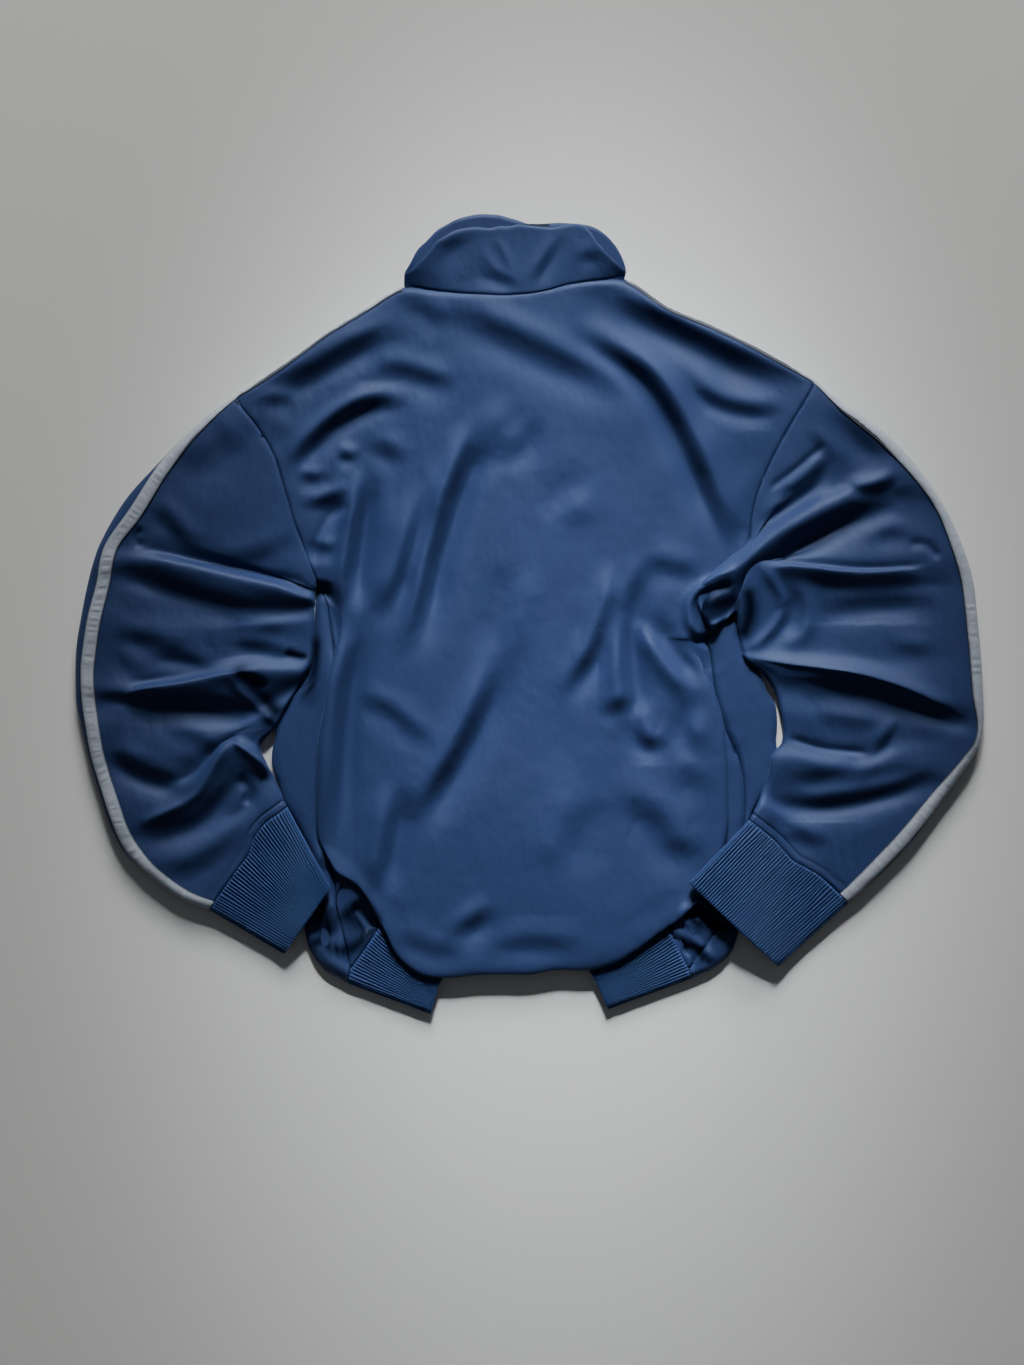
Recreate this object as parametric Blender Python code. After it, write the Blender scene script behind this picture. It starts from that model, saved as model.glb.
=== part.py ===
"""A zipped track jacket laid flat on a table, back side up.

The table is z = 0, the collar points to +Y and the wearer's left is at -X. The cloth lies as it was
cut and sewn: a back, two fronts, two sleeves, a stand collar, two ribbed cuffs, a ribbed hem band,
a tape along each shoulder and sleeve, and a zip. Every piece is a thin wall worked out from rows of
sections, and neighbours share the points of the seam between them.
"""

import math
from collections import namedtuple

import bmesh
import bpy
import numpy as np

# All sizes below are millimetres; MM turns them into metres when a mesh is made.
MM = 0.001
CLOTH = 1.2  # wall of the knitted body cloth
COLLAR_CLOTH = 1.6
RIB = 2.0
TAPE_WIDTH = 12.3
TAPE_THICK = 0.8
SEAM_GAP = 0.3  # clear distance between two sewn pieces
EDGE_RADIUS = 7.2  # round of a tube of cloth that lies flat
EDGE_Z = 6.6  # height of the middle of that round
CROWN_Z = 12.6  # top of the upper layer beside the round
SIDE_Z = 8.2  # top of the side layer under the back's pleats
FOLD_Z = 12.8  # top of the back's folded edges
PLEAT = 12.0  # depth of the pleat under each side of the back
SEAM_TO_BEND = 4.0  # the pleat's inner bend lies at least this far beyond the side seam
RIB_Z = 8.6  # top of the hem band, under the back
ZIP_X = 3.0
ZIP_HALF_GAP = 3.2
ZIP_TAPE = 30.0
ZIP_CHAIN = 5.4
FRONT_NECK_Z = 3.0
CUFF_TAPES = (7, 10)  # middle of each tape from the outer edge, at the cuffs
CUFF_END_HEIGHT = 0.88  # the open end of a cuff against its seam
TAPE_START = 2.0  # the tapes start this far below the collar
ZIP_CHAIN_LOW = 0.35
SLIDER_WIDTH = 9.0
SLIDER_LENGTH = 12.0
SLIDER_THICK = 2.4
BAND_END_Z = 8.6
FLAP_TUCK = 10.0
# Heights of the back at the points of the pleat: its two bends, then the two edges of the fold.
PLEAT_HEIGHTS = (SIDE_Z, FOLD_Z - 2.6, FOLD_Z - 2.3, FOLD_Z)
PLEAT_START = 0.4  # rows below the armpit, and how many rows the pleat takes to form
PLEAT_ROWS = 2.6
# Heights of the flap's four rows where it tucks in, and where it is bloused over the band.
TUCKED_HEIGHTS = (FOLD_Z - 2.4, 9.7, 9.2, RIB_Z + SEAM_GAP)
BLOWN_HEIGHTS = (FOLD_Z - 3.2, 9.4, 9.1, RIB_Z + SEAM_GAP)
# Distances in from an armhole of the first five columns, and at the armpit on the front.
SIDE_STEPS = np.array([0.0, 4.0, 8.0, 12.0, 16.0])
ARMPIT_STEPS = np.array([0.0, 0.9, 2.2, 5.0, 14.0])

# Counts of rows and columns.
TOP_COLUMNS = 5  # across a sleeve, between its two rounded edges
UNDER_COLUMNS = 2
SIDE_ROWS = 9  # armpit to the bottom fold
FLAP_ROWS = 4  # round the bottom fold and up to the hem band
SHOULDER_COLUMNS = 4
BACK_NECK_COLUMNS = 8
FRONT_NECK_COLUMNS = 4
PLEAT_COLUMNS = 4
COLLAR_ROWS = 4
CUFF_ROWS = 3
BAND_ROWS = 2
BOW_ROWS = 7  # rows over which a sleeve's underside loses the bow of the armhole
EDGE_COLUMN = 3  # in a sleeve's ring, the column at the shoulder seam
INNER_COLUMN = 6 + TOP_COLUMNS + 2
RING_COLUMNS = INNER_COLUMN + 3 + UNDER_COLUMNS
RIM = TAPE_WIDTH + 0.7  # how far a ring's close columns reach either side of the tape or an edge
FLAP_FROM = 0.77  # share of a side seam above the bottom fold
SLIDER_OUTLINE = ((-1, 0), (-1, 0.35), (-0.6, 1), (0.6, 1), (1, 0.35), (1, 0))

NAVY = (0.020, 0.042, 0.112)
RIB_NAVY = (0.012, 0.028, 0.075)
GREY = (0.42, 0.45, 0.50)
DARK = (0.015, 0.018, 0.03)

# One row per section of a sleeve, from the armhole to the cuff. Each runs across the sleeve from its
# outer edge to its inner edge through three stations; a station's third number is the height of the
# cloth there, so that crests stand at 14 to 20 and hollows at 7 to 10. tape is how far the middle of
# the tape lies from the outer edge, measured over the cloth; bow is how far the underside's line
# is bent up the sleeve.
Section = namedtuple("Section", "name outer a b c inner tape bow", defaults=(0,))

LEFT_SECTIONS = (
    Section("cap", (-287, 172), (-270, 141, 13), (-246, 106, 13.5), (-217, 62, 13), (-187, 26), 5),
    Section("cap low", (-325, 136), (-298, 110, 14), (-268, 79, 13), (-228, 53, 12.5), (-187, 24), 11),
    Section("over fold 1", (-360, 96), (-329, 77, 12.5), (-290, 62, 12), (-241, 44, 10.5), (-188, 22), 19),
    Section("fold 1 valley", (-379, 62), (-333, 58, 11), (-290, 48, 9.5), (-237, 36, 9), (-189, 19), 16),
    Section("fold 1 crest", (-384, 48), (-333, 48, 15), (-285, 37, 17), (-235, 26, 18), (-191, 14), 17),
    Section("fold 1 hollow", (-389, 29), (-347, 31, 10), (-298, 18, 8.5), (-246, 4, 8.5), (-193, 7), 19),
    Section("plain", (-395, -1), (-351, -6, 13), (-298, -13, 12.5), (-246, -13, 12), (-193, -6), 17),
    Section("soft dip", (-399, -26), (-351, -29, 11.5), (-298, -35, 10), (-241, -31, 10), (-193, -23), 17),
    Section("over fold 2", (-400, -45), (-360, -54, 12), (-307, -50, 11), (-259, -40, 12), (-194, -37), 16),
    Section("fold 2 crest", (-400, -61), (-356, -66, 14), (-307, -61, 17), (-259, -50, 19), (-196, -49), 16),
    Section("fold 2 hollow", (-399, -80), (-356, -78, 8.5), (-307, -82, 7.5), (-254, -84, 7.5), (-203, -63), 16),
    Section("under fold 2", (-395, -98), (-356, -99, 12.5), (-307, -103, 13), (-259, -99, 13), (-212, -79), 15),
    Section("swell", (-389, -123), (-353, -117, 12), (-307, -123, 14), (-260, -104, 13), (-222, -98), 13),
    Section("dip", (-381, -150), (-353, -136, 10), (-305, -143, 9), (-265, -110, 12), (-236, -113), 13),
    Section("fold 4 crest", (-370, -185), (-342, -180, 13), (-297, -154, 16), (-263, -119, 17), (-231, -131), 14),
    Section("fold 4 hollow", (-358, -207), (-333, -194, 10), (-290, -173, 8.5), (-253, -150, 9), (-225, -142), 12),
    Section("cuff swell", (-334, -231), (-307, -212, 13), (-274, -194, 12.5), (-244, -172, 12), (-220, -153), 9),
    Section("cuff flat", (-305, -251), (-285, -227, 12), (-259, -201, 12), (-235, -176, 12), (-216, -162), 8),
)

RIGHT_SECTIONS = (
    Section("cap", (275, 187), (249, 154, 14), (216, 101, 13), (184, 35, 11.5), (160, -16), 4),
    Section("pipe valley", (320, 154), (278, 119, 11), (216, 82, 11), (145, 17, 15), (162, -15), 8),
    Section("pipe crest", (340, 132), (288, 112, 16), (219, 70, 19), (153, 13, 21), (165, -12), 8, 8),
    Section("pipe hollow", (366, 94), (318, 101, 9), (246, 64, 9), (191, 26, 9), (171, -6), 8, 17),
    Section("long fold crest", (385, 52), (344, 46, 14), (265, 42, 16), (201, 43, 17), (183, 3), 9),
    Section("long fold hollow", (391, 31), (340, 24, 9.5), (272, 20, 9), (216, 15, 12), (185, -10), 9),
    Section("plain", (395, -4), (344, -9, 13), (282, -13, 12), (230, -15, 10), (186, -22), 9),
    Section("fan", (398, -35), (344, -40, 14), (282, -35, 13), (230, -31, 12), (187, -31), 9),
    Section("low fold crest", (400, -75), (357, -70, 16), (291, -50, 17), (238, -47, 16), (191, -40), 8),
    Section("low fold lip", (400, -89), (366, -82, 12), (297, -57, 13), (238, -54, 13), (205, -51), 5),
    Section("low fold hollow", (399, -99), (357, -88, 8), (297, -68, 8), (247, -64, 8), (216, -66), 3),
    Section("under low fold", (397, -112), (348, -99, 12), (297, -94, 12), (256, -88, 11), (221, -85), 3),
    Section("tuck valley", (391, -124), (340, -112, 12), (298, -121, 9.5), (260, -117, 9.5), (224, -107), 5),
    Section("tuck crest", (379, -143), (331, -128, 13.5), (282, -138, 15), (247, -129, 15), (217, -125), 8),
    Section("tuck hollow", (365, -163), (331, -145, 10), (282, -158, 9), (244, -163, 8.5), (207, -150), 10),
    Section("cuff swell", (331, -207), (309, -189, 13), (274, -194, 12.5), (234, -185, 12), (201, -166), 12.5),
    Section("cuff flat", (307, -231), (282, -217, 12), (252, -209, 12), (225, -196, 11.5), (197, -173), 12),
)

# Armhole seams from the shoulder to the armpit; the third number is the height of the cloth.
LEFT_ARMHOLE = (
    (-260, 192, 12.6), (-244, 171, 12.6), (-231, 154, 13), (-222, 134, 13), (-208, 86, 13),
    (-200, 64, 12.6), (-186, 28, 12.6),
)
RIGHT_ARMHOLE = (
    (252, 206, 12.6), (243, 187, 12.6), (228, 164, 13), (216, 143, 13), (198, 97, 12.6),
    (194, 65, 12), (180, 22, 10.5), (158, -18, 10),
)
LEFT_CUFF_SEAM = ((-282, -260), (-259, -227), (-246, -209), (-238, -189), (-213, -169))
RIGHT_CUFF_SEAM = ((282, -254), (256, -230), (231, -215), (218, -200), (193, -180))
LEFT_CUFF_END = ((-216, -299), (-195, -269), (-174, -239))
RIGHT_CUFF_END = ((220, -310), (180, -273), (140, -235))

LEFT_SHOULDER = ((-260, 192), (-219, 218), (-177, 249), (-135, 275), (-110, 289))
RIGHT_SHOULDER = ((252, 206), (222, 224), (166, 252), (137, 265), (105, 279), (84, 296))
BACK_NECK = (
    (-110, 289), (-84, 286), (-53, 283), (-21, 282), (3, 283), (26, 289), (49, 294), (84, 296),
)
LEFT_FRONT_NECK = ((-110, 289), (-92, 282), (-61, 276), (-30, 273), (-0.2, 272))
RIGHT_FRONT_NECK = ((84, 296), (71, 289), (49, 281), (27, 275), (6.2, 272))

# Side seams, from the armpit to the hem band; the folded edges of the back that hide or border them;
# and the outer edges of the side layers.
LEFT_SIDE_SEAM = (
    (-186, 28), (-180, 17), (-174, -15), (-169, -75), (-175, -140), (-175, -207), (-168, -260),
    (-157, -312),
)
RIGHT_SIDE_SEAM = (
    (158, -18), (160, -33), (165, -72), (175, -106), (188, -136), (190, -175), (184, -225),
    (170, -268), (141, -312),
)
LEFT_PLEAT_EDGE = (
    (-172, 4), (-174, -20), (-177, -46), (-179, -73), (-185, -101), (-187, -132), (-187, -178),
    (-183, -207), (-171, -226),
)
RIGHT_PLEAT_EDGE = (
    (145, -12), (155, -30), (160, -45), (165, -72), (172, -99), (174, -120), (175, -154),
    (174, -195), (165, -225), (150, -248),
)
LEFT_OUTER_EDGE = (
    (-186, 28), (-186, 0), (-188, -31), (-192, -57), (-203, -74), (-216, -101), (-221, -128),
    (-212, -157), (-198, -189), (-187, -211), (-188, -233), (-196, -264), (-197, -282), (-186, -308),
    (-160, -325),
)
RIGHT_OUTER_EDGE = (
    (158, -18), (164, -18), (172, -12.5), (179, -8), (183, -15), (184, -24), (185, -38),
    (194, -51), (209, -65), (215, -90), (213, -118), (201, -152), (193, -189), (189, -224),
    (187, -255), (184, -282), (172, -306), (143, -321),
)
# Corners where several seams meet: the two armpits, then the two ends of the collar's shoulders.
SEAM_CORNERS = ((-186, 28), (158, -18), (-105, 286), (84, 296))
CORNER_REACH = 14.0
CORNER_EASE = 1.15
# Where the fronts come down to the table inside those edges.
LEFT_FLOOR_LINE = (
    (-172, 26), (-173, 0), (-175, -31), (-180, -57), (-191, -78), (-203, -103), (-208, -128),
    (-199, -155), (-185, -187), (-174, -210), (-175, -233), (-183, -262), (-184, -280),
    (-175, -298), (-157, -311),
)
RIGHT_FLOOR_LINE = (
    (147, -20), (158, -28), (166, -37), (173, -48), (189, -62), (199, -78), (202, -95), (199, -118),
    (188, -150), (180, -187), (176, -224), (174, -255), (171, -279), (162, -297), (141, -310),
)
BOTTOM_FOLD = (
    (-171, -226), (-157, -232), (-137, -259), (-119, -294), (-105, -311), (-81, -319), (-39, -316),
    (1, -316), (34, -311), (56, -312), (83, -302), (115, -280), (136, -265), (150, -248),
)
HEM_SEAM = (
    (-157, -312), (-147, -295), (-133, -273), (-114, -255), (-87, -245), (-61, -240), (3, -236),
    (62, -240), (91, -245), (111, -255), (124, -273), (133, -295), (141, -312),
)
HEM_FREE_EDGE = (
    (-87, -352), (-76, -320), (-56, -311), (-26, -306), (1, -305), (27, -307), (45, -310), (56, -318),
    (70, -348),
)

# The largest creases of the back: a line from start through middle to end, the half width of the
# crease, and how far the cloth rises (or, below zero, sinks) along it.
Fold = namedtuple("Fold", "name start middle end width rise")

BACK_FOLDS = (
    Fold("right diagonal", (62, 240), (119, 196), (178, 50), 12, -3.0),
    Fold("right diagonal crest", (110, 240), (150, 180), (190, 75), 16, 2.0),
    Fold("right shoulder", (50, 282), (122, 244), (240, 190), 12, -2.5),
    Fold("left shoulder", (-219, 206), (-160, 235), (-106, 256), 10, -2.0),
    Fold("left armhole", (-243, 173), (-219, 190), (-193, 188), 8, -2.5),
    Fold("left arc", (-206, 128), (-181, 162), (-105, 178), 10, -2.5),
    Fold("left blade", (-44, 176), (-70, 110), (-100, 15), 14, -2.0),
    Fold("left blade crest", (-80, 170), (-105, 90), (-125, 10), 14, 2.0),
    Fold("left side", (-153, 145), (-162, 84), (-155, 10), 9, -2.5),
    Fold("left low", (-26, -30), (-52, -110), (-105, -198), 12, -1.8),
    Fold("right low", (63, 5), (40, -60), (20, -130), 10, -1.5),
    Fold("right hip", (97, -30), (105, -80), (108, -118), 12, -2.5),
    Fold("swell", (0, -180), (20, -230), (60, -280), 60, 3.0),
)

# The collar, from the zip round the wearer's back to the zip: where its top edge lies, one row for
# each point that it shares with the neck.
Collar = namedtuple("Collar", "name x y z")

COLLAR_TOP = (
    Collar("left front end", -0.2, 345, 4.0),
    Collar("left front", -30, 350.5, 4.0),
    Collar("left front", -60, 346, 4.2),
    Collar("left front bend", -86, 329, 5.0),
    Collar("left bend", -110, 301, 12.0),
    Collar("left back bend", -91, 310, 17.0),
    Collar("left back", -63, 328, 15.0),
    Collar("left back", -38, 330, 13.5),
    Collar("middle back", -6, 342, 13.0),
    Collar("right back", 20, 341, 13.0),
    Collar("right back", 47, 343, 14.0),
    Collar("right back bend", 64, 322, 16.0),
    Collar("right bend", 86, 303, 11.5),
    Collar("right front bend", 79, 322, 5.2),
    Collar("right front", 60, 341, 4.4),
    Collar("right front", 32, 346, 4.0),
    Collar("right front end", 6.2, 345, 4.0),
)


def clear_scene():
    for obj in list(bpy.data.objects):
        bpy.data.objects.remove(obj, do_unlink=True)


def material(name, color, roughness, metallic=0.0):
    made = bpy.data.materials.new(name)
    made.use_nodes = True
    shader = made.node_tree.nodes["Principled BSDF"]
    shader.inputs["Base Color"].default_value = (*color, 1.0)
    shader.inputs["Roughness"].default_value = roughness
    shader.inputs["Metallic"].default_value = metallic
    return made


# ---- curves ----


def dense(points, per_span=12):
    """A smooth curve through points set by hand, as many closely spaced points."""
    p = np.asarray(points, float)
    p = np.vstack([2 * p[0] - p[1], p, 2 * p[-1] - p[-2]])
    t = np.linspace(0, 1, per_span, endpoint=False)[:, None]
    spans = [
        b + 0.5 * t * (c - a + t * (2 * a - 5 * b + 4 * c - d + t * (3 * (b - c) + d - a)))
        for a, b, c, d in zip(p, p[1:], p[2:], p[3:])
    ]
    return np.vstack([*spans, p[-2:-1]])


def run_of(line):
    """Distance along a line at each of its points, seen from above."""
    steps = np.linalg.norm(np.diff(line[:, :2], axis=0), axis=1)
    return np.concatenate([[0.0], np.cumsum(steps)])


def at_distance(line, distances):
    run = run_of(line)
    return np.column_stack([np.interp(distances, run, line[:, k]) for k in range(line.shape[1])])


def at_share(points, shares):
    line = dense(points)
    return at_distance(line, np.asarray(shares) * run_of(line)[-1])


def even(first, last, count):
    """Shares from first to last in count steps."""
    return np.linspace(first, last, count + 1)


def smooth_step(x):
    x = np.clip(x, 0.0, 1.0)
    return x * x * (3 - 2 * x)


def unit(ways):
    length = np.linalg.norm(ways, axis=-1, keepdims=True)
    return ways / np.maximum(length, 1e-9)


def edge_bend(run):
    """How far in from a rounded edge cloth lies after run millimetres, and its share of the height."""
    quarter = EDGE_RADIUS * math.pi / 2
    turned = np.minimum(run, quarter) / EDGE_RADIUS
    inward = EDGE_RADIUS * (1 - np.cos(turned)) + np.maximum(run - quarter, 0)
    return inward, np.sin(turned)


def over_length(line):
    """Length of cloth that covers a line from rounded edge to rounded edge."""
    return run_of(line)[-1] + (math.pi - 2) * EDGE_RADIUS


# ---- sleeves and cuffs ----


def cuff_lift(side, x, y):
    """The inner corner of a cuff lies on the body, so the end of the sleeve rises towards it."""
    if side < 0:
        return 10.6 * smooth_step((x + 222) / 36) * smooth_step((-160 - y) / 45)
    return 15.0 * smooth_step((236 - x) / 68) * smooth_step((-135 - y) / 40)


def upper_points(upper, distances):
    """Points on top, at distances over the cloth from the outer edge."""
    width = run_of(upper)[-1]
    over = over_length(upper)
    near_outer = distances < over / 2
    inward, share = edge_bend(np.where(near_outer, distances, over - distances))
    points = at_distance(upper, np.where(near_outer, inward, width - inward))
    points[:, 2] = EDGE_Z + share * (points[:, 2] - EDGE_Z)
    return points


def lower_points(lower, distances, from_inner=False):
    """Points underneath, at distances over the cloth from the outer or the inner edge."""
    inward, share = edge_bend(distances)
    width = run_of(lower)[-1]
    points = at_distance(lower, width - inward if from_inner else inward)
    return np.column_stack([points[:, :2], EDGE_Z * (1 - share)])


def section_ring(upper, lower, tape, side):
    """The closed ring of one section: outer edge, over the top, inner edge, back underneath."""
    half = TAPE_WIDTH / 2
    over = over_length(upper)
    head_places = np.array([
        min(tape - RIM - 7, -9.4), min(tape - RIM, -0.5), tape - half, tape, tape + half, tape + RIM,
    ])
    below = head_places < 0
    head = np.empty((len(head_places), 3))
    head[below] = lower_points(lower, -head_places[below])
    head[~below] = upper_points(upper, head_places[~below])
    middle = np.linspace(tape + RIM, over - RIM, TOP_COLUMNS + 2)[1:-1]
    top = upper_points(upper, np.concatenate([middle, [over - RIM, over - half, over]]))
    floor = np.linspace(RIM, over_length(lower) + head_places[0], UNDER_COLUMNS + 2)[:-1]
    under = lower_points(lower, np.concatenate([[half], floor]), from_inner=True)
    ring = np.vstack([head, top, under])
    ring[:, 2] += cuff_lift(side, ring[:, 0], ring[:, 1])
    return ring


def sleeve_rings(sections, armhole, cuff_seam, cuff_tape, side):
    """One ring per section, from the armhole to the cuff."""
    arm = dense(armhole)
    share = (run_of(arm) / run_of(arm)[-1])[:, None]
    bow = arm[:, :2] - (arm[0, :2] + share * (arm[-1, :2] - arm[0, :2]))
    rings = [section_ring(arm, arm, 0.0, side)]
    for number, row in enumerate(sections, 1):
        outer, inner = np.array(row.outer), np.array(row.inner)
        ends = ((*outer, CROWN_Z), (*inner, (row.c[2] + CROWN_Z) / 2))
        upper = dense((ends[0], row.a, row.b, row.c, ends[1]))
        lower = outer + share * (inner - outer) + bow * max(0.0, 1 - number / BOW_ROWS)
        lower[:, 1] += row.bow * np.sin(math.pi * share[:, 0])
        rings.append(section_ring(upper, lower, float(row.tape), side))
    rings.append(end_ring(cuff_seam, cuff_tape, side))
    return np.array(rings)


def end_ring(points, tape, side):
    line = dense(points)
    upper = np.column_stack([line, np.full(len(line), CROWN_Z - 1)])
    return section_ring(upper, line, float(tape), side)


def cuff_rings(seam_ring, end, tape, side):
    """Rings from the sleeve's last one to the open end of the cuff, which is a little lower."""
    last = end_ring(end, tape, side)
    own_first = seam_ring[:, 2] - cuff_lift(side, seam_ring[:, 0], seam_ring[:, 1])
    own_last = (last[:, 2] - cuff_lift(side, last[:, 0], last[:, 1])) * CUFF_END_HEIGHT
    rings = [seam_ring]
    for share in even(0, 1, CUFF_ROWS)[1:]:
        ring = seam_ring + (last - seam_ring) * share
        ring[:, 2] = own_first + (own_last - own_first) * share
        ring[:, 2] += cuff_lift(side, ring[:, 0], ring[:, 1])
        rings.append(ring)
    return np.array(rings)


def back_armhole(ring):
    """The armhole's points on the back, from the shoulder to the armpit."""
    return ring[EDGE_COLUMN : INNER_COLUMN + 1]


def front_armhole(ring):
    under = [*range(EDGE_COLUMN, -1, -1), *range(RING_COLUMNS - 1, INNER_COLUMN - 1, -1)]
    return ring[under]


# ---- edges that the back and the fronts share ----


def shoulder_row(shoulder, arm_point):
    """The shoulder seam from the armhole to the neck, with close steps beside the armhole."""
    line = dense(shoulder)
    rest = np.linspace(SIDE_STEPS[-1], run_of(line)[-1], SHOULDER_COLUMNS + 1)[1:]
    plan = at_distance(line, np.concatenate([SIDE_STEPS, rest]))
    row = np.column_stack([plan, np.full(len(plan), EDGE_Z)])
    row[0] = arm_point
    return row


def side_shares():
    """Shares of a side seam where rows meet it: beside the upper layer, then beside the flap."""
    upper = FLAP_FROM * even(0, 1, SIDE_ROWS) ** 1.25
    return np.concatenate([upper, even(FLAP_FROM, 1, FLAP_ROWS)[1:]])[1:]


def side_seam_row(seam, armpit):
    plan = at_share(seam, side_shares())
    settled = smooth_step(np.arange(1, len(plan) + 1) / 2)
    return np.column_stack([plan, armpit[2] + (SIDE_Z - armpit[2]) * settled])


def side_ways(shoulder, count, side):
    """Unit vectors from an armhole into the body: along the shoulder first, then level."""
    along = unit(np.subtract(shoulder[1], shoulder[0]).astype(float))
    level = np.array([-side, 0.0])
    turned = smooth_step(np.arange(count) / (0.6 * count))[:, None]
    return unit(along + (level - along) * turned)


def hem_row(first, last, count):
    plan = at_share(HEM_SEAM, even(0, 1, count - 1))
    row = np.column_stack([plan, np.full(count, RIB_Z + SEAM_GAP)])
    row[0], row[-1] = first, last
    return row


def patch(top, bottom, left, right):
    """Points between four edges that share their corners, seen from above."""
    u = (run_of(top) / run_of(top)[-1])[None, :, None]
    v = (run_of(left) / run_of(left)[-1])[:, None, None]
    across = (1 - u) * left[:, None, :2] + u * right[:, None, :2]
    upper_bow = top[None, :, :2] - (1 - u) * top[0, :2] - u * top[-1, :2]
    lower_bow = bottom[None, :, :2] - (1 - u) * bottom[0, :2] - u * bottom[-1, :2]
    return across + (1 - v) ** 2 * upper_bow + v**2 * lower_bow


# ---- the back ----


def back_height(x, y):
    """Height of the back's upper layer away from its edges, with its creases."""
    z = np.full(np.shape(x), CROWN_Z + 0.4)
    for fold in BACK_FOLDS:
        line = dense((fold.start, fold.middle, fold.end))
        away = np.hypot(np.subtract.outer(x, line[:, 0]), np.subtract.outer(y, line[:, 1]))
        z = z + fold.rise * np.exp(-((away.min(axis=-1) / fold.width) ** 2))
    return z


def edge_shares(count):
    """Shares of the full height for the first rows in from a rounded edge."""
    shares = np.ones(count)
    shares[:2] = 0.0, edge_bend(TAPE_WIDTH / 2)[1]
    return shares


def back_side(arm, seam, edge, shoulder, side):
    """Five points a row: in from the armhole and, further down, round the pleat under the side."""
    rows = []
    shares = edge_shares(len(arm))
    eased = smooth_step(SIDE_STEPS / SIDE_STEPS[-1])
    for point, way, share in zip(arm, side_ways(shoulder, len(arm), side), shares):
        plan = point[:2] + SIDE_STEPS[:, None] * way
        top = EDGE_Z + share * (back_height(*plan[-1]) - EDGE_Z)
        rows.append(np.column_stack([plan, point[2] + (top - point[2]) * eased]))
    level = np.array([-side, 0.0])
    for number in range(SIDE_ROWS):
        pleated = smooth_step((number + PLEAT_START) / PLEAT_ROWS)
        start, fold = seam[number], edge[number]
        bend = fold + max(PLEAT, (start[:2] - fold) @ level + SEAM_TO_BEND) * level
        steps = (SIDE_STEPS / SIDE_STEPS[-1])[:, None]
        flat = start[:2] + steps * (fold + SIDE_STEPS[-1] * level - start[:2])
        flat_z = start[2] + (CROWN_Z - start[2]) * eased
        folded = np.array([start[:2], bend, bend, fold, fold + 0.8 * level])
        folded_z = np.array([start[2], *PLEAT_HEIGHTS])
        plan = flat + pleated * (folded - flat)
        rows.append(np.column_stack([plan, flat_z + pleated * (folded_z - flat_z)]))
    return np.array(rows)


def back_top_row(left_arm, right_arm):
    """Shoulder, neck and shoulder: the back's upper edge from armhole to armhole."""
    left = shoulder_row(LEFT_SHOULDER, left_arm[0])
    right = shoulder_row(RIGHT_SHOULDER, right_arm[0])
    shares = even(0, 1, BACK_NECK_COLUMNS)
    neck_z = EDGE_Z + (CROWN_Z - 0.4 - EDGE_Z) * np.sin(math.pi * shares) ** 0.5
    neck = np.column_stack([at_share(BACK_NECK, shares), neck_z])
    return np.vstack([left, neck[1:-1], right[::-1]])


def back_grid(left_arm, right_arm, left_seam, right_seam):
    top = back_top_row(left_arm, right_arm)
    shares = even(0, 1, SIDE_ROWS)[1:] ** 1.25
    left = back_side(left_arm, left_seam, at_share(LEFT_PLEAT_EDGE, shares), LEFT_SHOULDER, -1)
    right = back_side(right_arm, right_seam, at_share(RIGHT_PLEAT_EDGE, shares), RIGHT_SHOULDER, 1)
    left[0] = top[: PLEAT_COLUMNS + 1]
    right[0] = top[: -PLEAT_COLUMNS - 2 : -1]
    inner_top = top[PLEAT_COLUMNS : len(top) - PLEAT_COLUMNS]
    fold = at_share(BOTTOM_FOLD, even(0, 1, len(inner_top) - 1))
    fold[0], fold[-1] = left[-1, -1, :2], right[-1, -1, :2]
    plan = patch(inner_top, fold, left[:, -1], right[:, -1])
    z = back_height(plan[..., 0], plan[..., 1])
    z[-1] = FOLD_Z
    rise = edge_shares(len(z))[:, None]
    z = inner_top[None, :, 2] + np.where(rise > 0, rise, 0) * (z - inner_top[None, :, 2])
    z[:, 0], z[:, -1] = left[:, -1, 2], right[:, -1, 2]
    sheet = np.hstack([left[:, :-1], np.dstack([plan, z]), right[:, -2::-1]])
    return np.vstack([sheet, flap_rows(sheet[-1], left_seam, right_seam)])


def flap_rows(fold, left_seam, right_seam):
    """Four rows round the bottom fold, in under it and on to the seam of the hem band.

    In the middle the cloth is bloused: it turns under and runs back up over the band. Beside the
    sides it tucks in under the fold by FLAP_TUCK and comes out again to the seam.
    """
    count = len(fold)
    hem = hem_row(left_seam[-1], right_seam[-1], count)
    place = 1 - np.abs(np.linspace(-1, 1, count))
    bloused = smooth_step(place * 3.4 - 0.55)[:, None]
    base = fold[:, :2]
    along = np.gradient(base, axis=0)
    tuck = base + FLAP_TUCK * unit(np.column_stack([-along[:, 1], along[:, 0]]))
    seam = hem[:, :2]
    tucked = (base, tuck, (tuck + seam) / 2, seam)
    blown = (base, base + 0.3 * (seam - base), base + 0.65 * (seam - base), seam)
    rows = []
    for plan_in, plan_up, z_in, z_up in zip(tucked, blown, TUCKED_HEIGHTS, BLOWN_HEIGHTS):
        plan = plan_in + bloused * (plan_up - plan_in)
        rows.append(np.column_stack([plan, z_in + bloused * (z_up - z_in)]))
    rows = np.array(rows)
    steps = even(0, 1, PLEAT_COLUMNS)[:, None]
    for seam_row, columns in ((left_seam, range(5)), (right_seam, range(-1, -6, -1))):
        columns = list(columns)
        for number, start in enumerate(seam_row[-FLAP_ROWS:]):
            rows[number, columns] = start + steps * (rows[number, columns[-1]] - start)
    return rows


# ---- the fronts ----


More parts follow.
